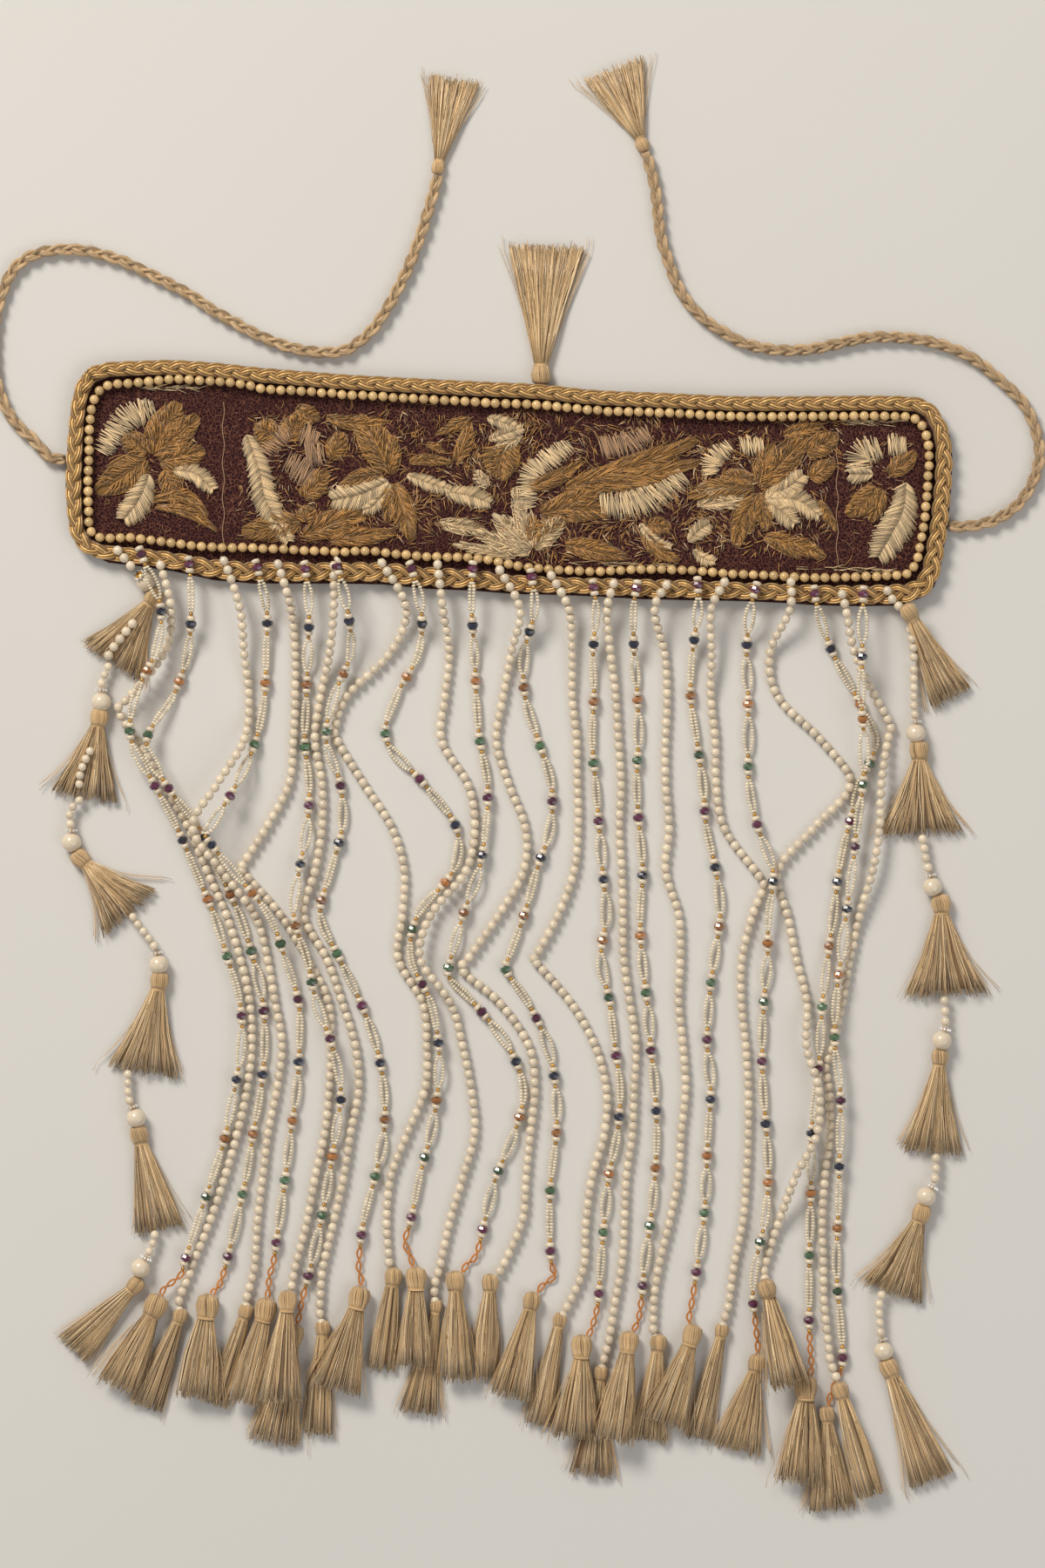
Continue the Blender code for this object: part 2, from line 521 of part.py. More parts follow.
def drop(name, route, big, spec, above):
    """One length of a side string: pearls, a big pearl and a tassel, lying on what is below."""
    places = from_skirt(route, above) if above else [flat(p) for p in route]
    line = thinned(smooth(places), 0.3, 16.0)
    stations = [[*p, STRING_RADIUS, STRING_RADIUS] for p in line]
    if above:
        way = (line[1] - line[0]) / np.linalg.norm(line[1] - line[0])
        stations = [[*line[0], 0.5, 0.5], [*(line[0] + way * 1.4), STRING_RADIUS, STRING_RADIUS]] + stations[1:]
    if big is not None:
        middle = flat(big)
        way = flat(spec[0]) - flat(route[-1])
        way /= np.linalg.norm(way)
        rows = ((-0.98, 0.36), (-0.72, 0.72), (-0.3, 0.96), (0.3, 0.96), (0.72, 0.66))
        for d, r in rows:
            stations.append([*(middle + way * d * BIG_RADIUS), r * BIG_RADIUS, r * BIG_RADIUS])
    string = np.array(stations)
    skirt = tassel_stations(spec)
    keep = np.linalg.norm(string[:, :2] - skirt[0, :2], axis=1) > 0.5
    string = string[keep]
    heights = settle(pile, string, True, least=np.minimum(string[:, 3].max(), 20.0) if big else 0.0)
    drop_heights = settle(pile_without(name), skirt, False)
    rings = string_rings(string, heights) + tassel_rings(spec, drop_heights)
    body(name, rings, pearl)
    return skirt, drop_heights


def pile_without(name):
    """The pile a drop's own tassel settles on: what was there before the side strings."""
    fresh = Pile()
    fresh.add(pile.dots[: band_dots])
    return fresh


def add_skirt(skirt, heights):
    for i in range(len(skirt) - 1):
        steps = max(2, int(np.linalg.norm(skirt[i + 1, :2] - skirt[i, :2])))
        for t in np.arange(steps + 1) / steps:
            s = skirt[i] * (1 - t) + skirt[i + 1] * t
            z = heights[i] * (1 - t) + heights[i + 1] * t
            pile.add(np.array([[s[0], s[1], z, s[2], s[3], 0.0]]))


band_dots = len(pile.dots)
waiting = []
for side, rows in (("left", LEFT_DROPS), ("right", RIGHT_DROPS)):
    above = None
    for i, (route, big, spec) in enumerate(rows):
        waiting.append(drop(f"drop_{side}_{i + 1}", route, big, spec, above))
        above = None if (side, i) == ("right", 0) else spec
for skirt, heights in waiting:
    add_skirt(skirt, heights)



def stations_of(key):
    start, at_levels, more, chain_from = STRANDS[key]
    route = [(x, y) for x, y in zip(at_levels, LEVELS) if x is not None] + list(more)
    route = [start] + sorted(route, key=lambda p: p[1])
    line = thinned(smooth([flat(p) for p in route]), 0.75, 34.0)
    chain_y = (MIDDLE_Y - chain_from) * PX if chain_from else -1e9
    radii = [CHAIN_RADIUS if p[1] < chain_y else STRING_RADIUS for p in line]
    return np.array([[*p, r, r] for p, r in zip(line, radii)])


def finish(key, stations, string_heights, hanging_heights):
    used = pearl if key.startswith("pearl") else seed
    rings = string_rings(stations, string_heights) + tassel_rings(TASSELS[key], hanging_heights)
    body(f"strand_{key}", rings, used)


# This strand's chain and tassel lie under its neighbours, though its string lies over them.
LOWEST_TAIL = "mixed_14"
tail_stations = stations_of(LOWEST_TAIL)
tail_count = int((tail_stations[:, 2] == CHAIN_RADIUS).sum())
tail_heights = settle(pile, tail_stations[-tail_count:], True)
tail_skirt = tassel_stations(TASSELS[LOWEST_TAIL])
tail_skirt_heights = settle(pile_without("tail"), tail_skirt, False)
add_skirt(tail_skirt, tail_skirt_heights)

strings = {}
for key in STRING_PILE:
    stations = stations_of(key)
    if key == LOWEST_TAIL:
        upper = settle(pile, stations[:-tail_count], True)
        finish(key, stations, np.concatenate([upper, tail_heights]), tail_skirt_heights)
        continue
    dots_before = len(pile.dots)
    heights = settle(pile, stations, True)
    strings[key] = (stations, heights, dots_before, len(pile.dots))

for key in TASSEL_PILE:
    if key == LOWEST_TAIL:
        continue
    stations, string_heights, first, last = strings[key]
    hanging = tassel_stations(TASSELS[key])
    others = Pile()
    others.add(np.vstack([pile.dots[:first], pile.dots[last:]]))
    heights = settle(others, hanging, False, slope=0.9)
    add_skirt(hanging, heights)
    finish(key, stations, string_heights, heights)
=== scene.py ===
"""Look of the sehra: beads, tassels, plaits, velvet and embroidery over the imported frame."""

import math

import bpy
import numpy as np
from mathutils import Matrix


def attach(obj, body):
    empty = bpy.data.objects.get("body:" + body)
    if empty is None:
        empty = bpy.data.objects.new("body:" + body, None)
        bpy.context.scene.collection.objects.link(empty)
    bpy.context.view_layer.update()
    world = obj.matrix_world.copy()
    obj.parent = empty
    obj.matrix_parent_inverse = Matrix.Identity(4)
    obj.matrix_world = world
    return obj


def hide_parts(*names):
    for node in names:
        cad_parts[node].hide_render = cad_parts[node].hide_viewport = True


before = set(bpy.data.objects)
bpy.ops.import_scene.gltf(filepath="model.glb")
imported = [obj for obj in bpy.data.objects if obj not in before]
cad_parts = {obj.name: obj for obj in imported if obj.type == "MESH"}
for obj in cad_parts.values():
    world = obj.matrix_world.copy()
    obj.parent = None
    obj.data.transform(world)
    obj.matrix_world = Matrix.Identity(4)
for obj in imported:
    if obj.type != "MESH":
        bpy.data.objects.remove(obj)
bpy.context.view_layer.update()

# Millimetres a photo pixel, and the photo pixel at the frame's origin.
PX = 0.36
MIDDLE_X = 584.0
MIDDLE_Y = 555.0

# Millimetres: least gap between solids, heights on the band, radii of strings, chains, ties and big pearls.
GAP = 0.35
PANEL_TOP = 3.0
BRAID_HALF_HEIGHT = 2.0
BORDER_RADIUS = 2.05
BORDER_Z = PANEL_TOP + 0.3 + BORDER_RADIUS
BRAID_Z = PANEL_TOP + 0.3 + BRAID_HALF_HEIGHT
STRING_RADIUS = 2.0
CHAIN_RADIUS = 1.1
TIE_RADIUS = 2.7
TIE_Z = TIE_RADIUS + 0.02
BIG_RADIUS = 3.9
# The steepest that a string and a tassel climb.
SLOPE = 0.55
TASSEL_SLOPE = 0.9

# Beads, in millimetres: length along the string, width across it.
PEARL_PITCH = 4.02
PEARL_LONG = 4.05
GOLD_LONG, GOLD_WIDE = 1.5, 1.95
CREAM_LONG, CREAM_WIDE = 2.25, 3.95
GLASS_LONG, GLASS_WIDE = 2.8, 4.75
SEED_LONG, SEED_WIDE = 1.28, 1.82
BORDER_PITCH = 4.22
BORDER_PEARL = 4.1
# Ring of stones beside a big pearl: its disc's length and width, then the stones' number, circle and size.
DISC_LONG, DISC_WIDE = 1.5, 4.2
STONES, STONE_CIRCLE, STONE_SIZE = 9, 2.1, 1.35
# Thread chain: length of a loop and radii of its orange and white threads.
CHAIN_LOOP, CHAIN_THREAD, KNOT_THREAD = 5.2, 0.27, 0.2
# Clusters on a mixed strand after its first, and the colours they take in turn.
CYCLES = 12
COLOURS = ("purple", "navy", "amber", "green")

# Plaits, in millimetres: length of a turn, spacing and radius of its cords.
TIE_TURN, TIE_SPACING, TIE_CORD = 20.0, 0.62, 0.78
TIE_FIBRE, TIE_FUZZ, FUZZ_THREADS = 0.16, 0.09, 26
BORDER_TURN, BORDER_SPACING, BORDER_CORD = 22.0, 0.98, 0.47

# Threads in a tassel's skirt, and radii in millimetres of its threads, its neck's turns and its strays.
PEARL_TASSEL_THREADS = 170
MIXED_TASSEL_THREADS = 190
SIDE_TASSEL_THREADS = 230
THREAD_RADIUS, NECK_THREAD, STRAY_THREAD = 0.25, 0.26, 0.13
HEAD_TURNS, NECK_TURNS, STRAYS = 24, 3, 9
# Threads to a lock, and how far a lock draws them in.
LOCK_THREADS, LOCK_PULL = 11, 0.36

# Embroidery threads' radii in millimetres: a petal's lower and upper stitches, leaves, bars and the rest.
PETAL_UNDER, PETAL_OVER, LEAF_THREAD, BAR_THREAD = 0.2, 0.24, 0.29, 0.31
SHORT_STITCH, LOOSE_THREAD, EDGE_THREAD, COUCHED_THREAD = 0.2, 0.15, 0.17, 0.2
# Millimetres from stitch to stitch on leaves and bars, and how far a leaf's stitches lean along its midrib.
LEAF_STEP, BAR_STEP, LEAF_SLANT = 0.62, 0.55, 0.675
# Stitches of a row by the border, and their length in photo pixels.
EDGE_COUNT, EDGE_LONG = 26, 14

# Band edge, in photo pixels: outer edge of the plaited braid, its inner edge.
BRAID_EDGES = [
    ((100, 426), (111, 439)), ((112, 419), (120, 435)), ((130, 416.5), (134, 433)),
    ((165, 416), (165, 431)), ((200, 416.5), (200, 429)), ((250, 420), (250, 432)),
    ((300, 425), (300, 438)), ((350, 429), (350, 442)), ((400, 433), (400, 446)),
    ((467, 436), (467, 450)), ((556, 440), (556, 455)), ((620, 443), (620, 458)),
    ((683, 450), (683, 464)), ((765, 454), (765, 467)), ((847, 457), (847, 471)),
    ((929, 457), (929, 471)), ((1000, 456), (1000, 471)), ((1045, 458), (1043, 471)),
    ((1062, 461), (1057, 475)), ((1075, 470), (1065, 484)), ((1085, 486), (1070, 496)),
    ((1091, 503), (1072, 508)), ((1093, 525), (1073, 525)), ((1092, 555), (1072, 555)),
    ((1090, 582), (1069, 580)), ((1087, 607), (1067, 603)), ((1083, 632), (1063, 628)),
    ((1079, 655), (1059, 648)), ((1072, 675), (1054, 659)), ((1058, 687), (1045, 668)),
    ((1035, 693), (1028, 671)), ((990, 694), (990, 672)), ((940, 693), (940, 672)),
    ((895, 690), (895, 670)), ((850, 688), (850, 669)), ((790, 687), (790, 666)),
    ((740, 686), (740, 665)), ((690, 683), (690, 664)), ((640, 681), (640, 663)),
    ((590, 680), (590, 660)), ((540, 676), (540, 654)), ((490, 674), (490, 651)),
    ((440, 669), (440, 646)), ((390, 668), (390, 646)), ((340, 668), (340, 646)),
    ((290, 668), (290, 645)), ((245, 664), (245, 642)), ((200, 654), (203, 635)),
    ((160, 648), (162, 630)), ((125, 644), (130, 627)), ((104, 637), (111, 625)), ((90, 627), (102, 618)),
    ((82, 613), (97, 606)), ((78, 592), (96, 590)), ((76, 560), (95, 560)), ((77, 525), (96, 525)),
    ((80, 490), (97, 492)), ((84, 460), (100, 464)), ((90, 440), (104, 449)),
]

# Row of golden pearls inside the braid.
BORDER_LINE = [
    (119, 445), (133, 442), (155, 441), (180, 438), (205, 436), (235, 438), (262, 440), (285, 443),
    (302, 447), (350, 450), (400, 454), (467, 458), (556, 463), (620, 466), (683, 472), (765, 475),
    (847, 479), (929, 479), (1000, 478.5), (1038, 479), (1050, 482), (1058, 490), (1063, 502),
    (1066, 520), (1065, 548), (1062.5, 578), (1060, 602), (1056, 625), (1053, 640), (1047, 653),
    (1038, 660), (1000, 662), (940, 664), (890, 661.5), (850, 660), (800, 656), (740, 654), (690, 656.5),
    (650, 655.5), (600, 651), (550, 642), (500, 640), (460, 637), (420, 633), (380, 634), (300, 630),
    (250, 629), (224, 627), (200, 624), (165, 619.5), (140, 617.5), (122, 618.5), (110, 615), (104, 606),
    (103, 590), (102, 560), (103, 525), (104, 492), (107, 468), (111, 455),
]

# Where each strand lies, in photo pixels: its sewn start, then x at every 50 pixels of y from 650 to 1450
# (None where it isn't there yet, or already ended), then further points, then where a thread chain begins.
LEVELS = range(650, 1451, 50)
STRANDS = {
    "mixed_01": (
        (161, 628), [169, 187, 180, 157, 152, 178, 204, 225, 246, 262, 276, 278, 270, 260, 245, 228, 212],
        [(208, 1463), (189, 1478)], 1450,
    ),
    "pearl_01": (
        (184, 644), [186, 198, 189, 150, 158, 188, 217, 238, 260, 276, 287, 289, 284, 273, 259, 242, 222],
        [(137, 815), (217, 1464), (212, 1475), (206, 1492)], None,
    ),
    "mixed_02": (
        (217, 639), [219, 221, 216, 199, 170, 192, 230, 252, 275, 291, 302, 304, 300, 291, 283, 272, 260],
        [(252, 1475), (246, 1481)], 1450,
    ),
    "pearl_02": (
        (255, 640), [261, 277, 281, 286, 281, 251, 223, 257, 293, 307, 316, 324, 318, 308, 302, 296, 293],
        [(290, 1465), (284, 1487)], None,
    ),
    "mixed_03": (
        (293, 643), [296, 307, 306, 304, 294, 273, 243, 270, 310, 328, 343, 344, 341, 334, 328, 321, 314],
        [(238, 960), (310, 1462), (308, 1483)], 1439,
    ),
    "pearl_03": (
        (317, 644), [321, 335, 339, 339, 337, 332, 306, 279, 322, 353, 377, 380, 378, 373, 362, 353, 340],
        [(277, 996), (336, 1472)], None,
    ),
    "mixed_04": (
        (350, 648), [351, 356, 354, 352, 350, 355, 353, 344, 338, 353, 364, 382, 392, 386, 378, 369, 358],
        [(352, 1473), (347, 1492), (344, 1510)], 1478,
    ),
    "pearl_04": (
        (384, 645), [384, 384, 379, 368, 362, 370, 370, 362, 349, 375, 393, 408, 412, 403, 395, 384, 372],
        [(369, 1472), (367, 1505)], None,
    ),
    "mixed_05": (
        (392, 645), [388, 400, 403, 384, 375, 391, 393, 380, 368, 390, 414, 432, 441, 441, 431, 418, 412],
        [(415, 1468)], 1430,
    ),
    "pearl_05": (
        (435, 643), [441, 467, 448, 398, 387, 418, 450, 464, 462, 457, 485, 490, 488, 468, 449, 444, 447],
        [(385, 838)], None,
    ),
    "mixed_06": (
        (470, 647), [472, 484, 481, 455, 444, 487, 524, 520, 480, 472, 495, 504, 503, 495, 482, 472, None],
        [(465, 1425), (471, 1440)], 1407,
    ),
    "pearl_06": (
        (503, 643), [503, 509, 516, 511, 507, 537, 545, 535, 495, 483, 517, 531, 541, 545, 532, 517, 506],
        [(500, 1472), (499, 1484)], None,
    ),
    "mixed_07": (
        (544, 647), [543, 542, 545, 547, 551, 560, 558, 550, 532, 518, 543, 583, 601, 591, 570, 557, None],
        [(516, 1122), (547, 1440), (536, 1451)], 1424,
    ),
    "pearl_07": (
        (571, 650), [None, 597, 587, 578, 570, 584, 603, 601, 573, 538, 573, 607, 614, 609, 604, 600, 579],
        [(531, 1114), (574, 1459)], None,
    ),
    "mixed_08": (
        (609, 653), [None, 614, 602, 603, 618, 633, 632, 616, 602, 584, 606, 629, 638, 639, 633, 631, 633],
        [(581, 1114), (637, 1464), (622, 1476)], 1448,
    ),
    "pearl_08": (
        (630, 656), [None, 653, 657, 657, 662, 663, 664, 659, 641, 614, 655, 683, 696, 694, 680, 673, 671],
        [(614, 1103), (661, 1480), (650, 1502)], None,
    ),
    "mixed_09": (
        (680, 665), [None, 684, 681, 682, 680, 684, 688, 692, 696, 690, 700, 706, 712, 709, 699, 694, 690],
        [(687, 1492), (683, 1512), (678, 1528)], 1496,
    ),
    "pearl_09": (
        (706, 665), [None, 697, 701, 707, 710, 713, 711, 714, 715, 716, 723, 730, 728, 726, 719, 717, 714],
        [(706, 1495), (699, 1538), (693, 1562)], None,
    ),
    "mixed_10": (
        (732, 666), [None, 727, 728, 732, 733, 731, 734, 738, 735, 737, 743, 747, 752, 754, 752, 747, 740],
        [(737, 1485), (733, 1515), (728, 1525)], 1486,
    ),
    "pearl_10": (
        (768, 667), [None, 751, 763, 766, 764, 764, 768, 764, 779, 781, 779, 784, 787, 782, 779, 769, 757],
        [(751, 1490), (750, 1526)], None,
    ),
    "mixed_11": (
        (800, 662), [None, 801, 795, 793, 800, 807, 811, 822, 827, 820, 814, 812, 816, 813, 811, 808, 801],
        [(795, 1490), (791, 1512)], 1473,
    ),
    "pearl_11": (
        (834, 664), [None, 816, 817, 816, 821, 822, 831, 867, 864, 852, 851, 856, 859, 859, 857, 853, 843],
        [(877, 1017), (836, 1500), (832, 1512)], None,
    ),
    "mixed_12": (
        (869, 668), [None, 861, 857, 859, 859, 860, 870, 887, 882, 881, 877, 875, 876, 880, 882, 878, 867],
        [(864, 1485), (866, 1506), (870, 1545)], 1508,
    ),
    "pearl_12": (
        (907, 663), [None, 906, 884, 893, 943, 976, 935, 893, 904, 914, 926, 925, 939, 937, 912, 895, 879],
        [(877, 1461)], None,
    ),
    "mixed_13": (
        (933, 672), [None, 938, 956, 983, 1005, 988, 974, 963, 957, 950, 944, 941, 937, 931, 931, 930, 929],
        [(929, 1524), (932, 1570)], 1526,
    ),
    "pearl_13": (
        (964, 677),
        [None, 970, 980, 1004, 1019, 1011, 1009, 1001, 987, 976, 967, 956, 952, 953, 947, 944, 945],
        [(1022, 833), (948, 1225), (946, 1495), (951, 1545), (953, 1562), (959, 1578)], None,
    ),
    "mixed_14": (
        (990, 673), [None, 989, 988, 987, 991, 990, 983, 978, 971, 965, 959, 958, 964, 964, 963, 962, 960],
        [(963, 1495), (967, 1545), (967, 1567), (962, 1580), (953, 1602)], 1568,
    ),
}

# Tassels, in photo pixels: head middle, head width, skirt end, end width, width halfway down the skirt.
TASSELS = {
    "mixed_01": ((180, 1497), 26, (134, 1590), 52, 40),
    "pearl_01": ((208, 1509), 17, (168, 1614), 38, 28),
    "mixed_02": ((239, 1497), 26, (227, 1603), 50, 42),
    "pearl_02": ((283, 1504), 17, (249, 1611), 28, 24),
    "mixed_03": ((306, 1501), 25, (280, 1608), 34, 32),
    "pearl_03": ((331, 1490), 21, (323, 1606), 52, 36),
    "mixed_04": ((338, 1530), 22, (316, 1655), 62, 40),
    "pearl_04": ((371, 1523), 17, (366, 1645), 34, 28),
    "mixed_05": ((413, 1487), 24, (385, 1593), 62, 42),
    "pearl_05": ((452, 1464), 20, (438, 1570), 32, 27),
    "mixed_06": ((478, 1465), 24, (477, 1566), 40, 33),
    "pearl_06": ((501, 1498), 15, (480, 1620), 48, 28),
    "mixed_07": ((523, 1469), 22, (525, 1582), 40, 33),
    "pearl_07": ((563, 1471), 19, (557, 1580), 26, 30),
    "mixed_08": ((611, 1492), 20, (586, 1602), 48, 34),
    "pearl_08": ((643, 1514), 16, (618, 1634), 34, 24),
    "mixed_09": ((668, 1543), 24, (660, 1648), 56, 42),
    "pearl_09": ((690, 1575), 17, (679, 1692), 52, 32),
    "mixed_10": ((722, 1538), 22, (703, 1650), 40, 34),
    "pearl_10": ((756, 1540), 19, (746, 1652), 46, 30),
    "mixed_11": ((795, 1530), 22, (763, 1632), 50, 36),
    "pearl_11": ((829, 1526), 16, (801, 1649), 30, 24),
    "mixed_12": ((869, 1563), 20, (846, 1664), 58, 40),
    "pearl_12": ((879, 1476), 21, (905, 1588), 48, 36),
    "mixed_13": ((925, 1590), 26, (918, 1699), 54, 42),
    "pearl_13": ((964, 1594), 19, (999, 1715), 32, 28),
    "mixed_14": ((949, 1622), 18, (954, 1732), 62, 38),
}

# Which lies over which, lowest first: for the strings, then for the tassels under them.
STRING_PILE = [
    "pearl_01", "pearl_03", "pearl_04", "pearl_05", "pearl_07", "pearl_08", "pearl_09", "pearl_10",
    "pearl_11", "pearl_13", "mixed_13", "pearl_12", "mixed_01", "mixed_02", "pearl_02", "mixed_03",
    "mixed_04", "mixed_05", "mixed_06", "pearl_06", "mixed_07", "mixed_08", "mixed_09", "mixed_10",
    "mixed_11", "mixed_12", "mixed_14",
]
TASSEL_PILE = [
    "mixed_04", "pearl_04", "pearl_06", "pearl_09", "mixed_14", "pearl_10", "pearl_01", "pearl_02",
    "pearl_05", "pearl_07", "pearl_08", "pearl_11", "mixed_01", "mixed_02", "mixed_03", "pearl_03",
    "mixed_05", "mixed_06", "mixed_07", "mixed_08", "mixed_09", "mixed_10", "mixed_11", "mixed_12",
    "mixed_13", "pearl_13", "pearl_12",
]

# Side strings, top to bottom: pearls' route, big pearl (None where there is none), tassel as above.
LEFT_DROPS = [
    ([(134, 628), (140, 637), (148, 645), (155, 655)], (168, 668), ((178, 685), 21, (127, 760), 84, 46)),
    ([(123, 767), (118, 782), (117, 793)], (117, 806), ((115, 822), 21, (98, 915), 80, 46)),
    ([(95, 919), (82, 930), (82, 948), (84, 953)], (83, 967), ((92, 984), 21, (150, 1048), 88, 46)),
    ([(153, 1051), (160, 1062), (174, 1080), (180, 1090)], (183, 1107),
     ((184, 1124), 21, (165, 1230), 84, 46)),
    ([(147, 1231), (148, 1255), (151, 1268)], (157, 1283), ((160, 1301), 21, (184, 1410), 58, 38)),
    ([(180, 1414), (176, 1427), (169, 1442)], (162, 1455), ((157, 1474), 19, (84, 1548), 46, 32)),
]
RIGHT_DROPS = [
    ([(1015, 674), (1020, 684), (1026, 693), (1031, 697)], None, ((1042, 703), 20, (1092, 800), 52, 34)),
    ([(1048.8, 764), (1048.8, 780), (1049, 796), (1049, 813), (1051, 826)], (1051, 842),
     ((1055, 860), 22, (1057, 957), 100, 54)),
    ([(1058, 961), (1063, 988), (1067, 1001)], (1070, 1018), ((1080, 1036), 22, (1086, 1142), 98, 52)),
    ([(1084, 1147), (1085, 1174), (1085, 1180)], (1081, 1194), ((1079, 1212), 19, (1069, 1322), 74, 42)),
    ([(1074, 1327), (1074, 1345), (1072, 1358)], (1063, 1373), ((1058, 1391), 21, (1024, 1484), 74, 42)),
    ([(1013, 1483), (1009, 1497), (1011, 1535)], (1014, 1550), ((1020, 1568), 22, (1070, 1698), 54, 36)),
]

# Ties, from the band's end to the knot.
LEFT_TIE = [
    (75.3, 527), (60, 527), (50, 518), (38, 504), (22, 490), (8, 470), (-3, 440), (-7, 405), (-5, 370),
    (2, 340), (14, 313), (30, 298), (50, 290), (80, 287), (110, 291), (140, 300), (170, 314), (200, 329),
    (225, 343), (245, 357), (268, 370), (292, 383), (315, 393), (340, 401), (368, 405), (395, 403),
    (415, 391), (430, 376), (445, 354), (459, 328), (470, 305), (478, 284), (486, 262), (493, 238),
    (500, 214), (502.5, 202.5),
]
RIGHT_TIE = [
    (1089, 605), (1115, 604), (1140, 598), (1158, 588), (1172, 575), (1183, 558), (1190, 540),
    (1193, 520), (1190, 500), (1184, 482), (1174, 463), (1160, 448), (1143, 433), (1125, 418),
    (1105, 406), (1082, 397), (1058, 391), (1030, 388), (1000, 388), (975, 392), (950, 398), (925, 402),
    (900, 403), (875, 400), (852, 394), (832, 383), (812, 370), (797, 356), (784, 340), (774, 320),
    (767, 300), (760, 278), (756, 255), (754, 232), (751, 212), (746, 192), (741, 176.3),
]
TOP_TASSEL = ((621, 432), 22, (627, 284), 90, 52)
LEFT_TIE_TASSEL = ((503, 194), 15, (521, 92), 60, 36)
RIGHT_TIE_TASSEL = ((738, 168), 16, (704, 80), 76, 46)

# Pearls that lie over the skirt above them, and their heights in millimetres from first to last.
OVER_SKIRT = {
    ("left", 1): [(157, 712), (143, 729), (128, 748), (124, 758)],
    ("left", 2): [(107, 858), (98, 875), (93, 890), (92, 905)],
    ("right", 1): [(1043, 718), (1046, 733), (1048, 748), (1049, 760)],
}
OVER_HEIGHTS = (6.4, 6.2, 4.6)

# Embroidery, in photo pixels. Petals: base, tip, width, threads, bend.
OCHRE_PETALS = [
    ((176, 522), (205, 462), 42, 60, 0), ((180, 524), (228, 478), 36, 50, 0),
    ((184, 530), (236, 518), 34, 44, 0), ((168, 528), (112, 566), 40, 60, 0),
    ((170, 520), (140, 500), 30, 30, 0), ((190, 540), (206, 580), 26, 40, 0),
    ((176, 574), (240, 592), 18, 36, -14), ((180, 582), (250, 610), 14, 26, -8),
    ((318, 500), (292, 490), 30, 30, 0), ((330, 505), (345, 475), 30, 30, 0),
    ((340, 470), (368, 482), 22, 26, 0), ((375, 480), (445, 485), 18, 30, 4),
    ((382, 528), (392, 496), 26, 30, 0), ((350, 572), (376, 540), 28, 44, 0),
    ((445, 540), (410, 478), 40, 64, 4), ((448, 545), (452, 500), 24, 30, 0),
    ((448, 556), (446, 600), 22, 34, 0), ((452, 556), (474, 620), 30, 54, 0),
    ((440, 545), (390, 560), 22, 26, 4), ((345, 600), (278, 612), 34, 50, 0),
    ((352, 600), (352, 580), 26, 22, 0), ((350, 615), (420, 592), 32, 60, -4),
    ((380, 620), (455, 612), 22, 34, 0), ((470, 530), (520, 532), 14, 26, -3),
    ((524, 530), (540, 485), 20, 30, 3), ((585, 512), (574, 552), 44, 60, 6),
    ((600, 560), (668, 530), 20, 30, 6), ((622, 590), (700, 545), 28, 50, 6),
    ((650, 560), (760, 545), 26, 50, -6), ((680, 548), (800, 505), 26, 60, 4),
    ((690, 560), (805, 530), 24, 54, 0), ((640, 590), (700, 590), 30, 46, -6),
    ((650, 625), (720, 640), 26, 40, 0), ((738, 612), (780, 645), 20, 34, 4),
    ((744, 604), (770, 604), 22, 26, 0), ((870, 568), (844, 628), 30, 56, 4),
    ((872, 566), (880, 610), 22, 34, 0), ((872, 560), (925, 500), 36, 56, 0),
    ((870, 556), (888, 510), 28, 34, 0), ((866, 560), (790, 570), 26, 44, 4),
    ((864, 552), (830, 545), 24, 26, 0), ((878, 616), (920, 640), 22, 34, -4),
    ((900, 500), (945, 488), 20, 30, 0), ((925, 520), (962, 500), 30, 40, 0),
    ((930, 550), (958, 530), 26, 34, 0), ((1005, 560), (972, 592), 30, 56, -4),
    ((1012, 562), (1000, 600), 22, 30, 0), ((1020, 545), (1052, 520), 24, 34, 0),
    ((905, 620), (948, 640), 20, 34, 0), ((940, 575), (960, 610), 14, 20, 0),
]
# Leaves and bars: midline and width.
PALE_FEATHERS = [
    ([(284, 500), (298, 540), (306, 575), (332, 622)], 30), ([(172, 545), (160, 575), (143, 597)], 34),
    ([(200, 540), (225, 545), (245, 562)], 22), ([(446, 553), (415, 568), (382, 575)], 34),
    ([(448, 556), (430, 580), (418, 586)], 20), ([(468, 546), (500, 558), (516, 562)], 18),
    ([(512, 565), (540, 570), (562, 578)], 24), ([(878, 570), (905, 560), (922, 545)], 26),
    ([(878, 572), (915, 575), (940, 592)], 26), ([(878, 574), (900, 590), (912, 602)], 24),
    ([(1040, 555), (1035, 590), (1008, 640)], 40), ([(735, 602), (752, 622), (770, 628)], 14),
    ([(790, 622), (802, 610), (814, 602)], 20), ([(796, 632), (808, 642), (820, 645)], 16),
    ([(1002, 545), (975, 545)], 22), ([(560, 480), (590, 490)], 18), ([(562, 505), (600, 492)], 16),
]
PALE_BARS = [
    ([(178, 470), (150, 478), (130, 500), (118, 520)], 30),
    ([(655, 512), (630, 528), (608, 548), (605, 585)], 26),
    ([(690, 580), (720, 580), (750, 570), (785, 545)], 36), ([(815, 545), (818, 528), (838, 512)], 24),
    ([(850, 512), (876, 512)], 24), ([(985, 540), (990, 520), (1010, 515)], 34),
    ([(1020, 512), (1040, 512)], 26),
]
DUSKY_BARS = [
    ([(305, 520), (322, 500), (335, 496)], 26), ([(330, 530), (352, 545), (362, 555)], 30),
    ([(345, 498), (366, 505)], 26), ([(352, 520), (372, 520)], 34),
    ([(690, 515), (720, 510), (745, 498)], 30),
]
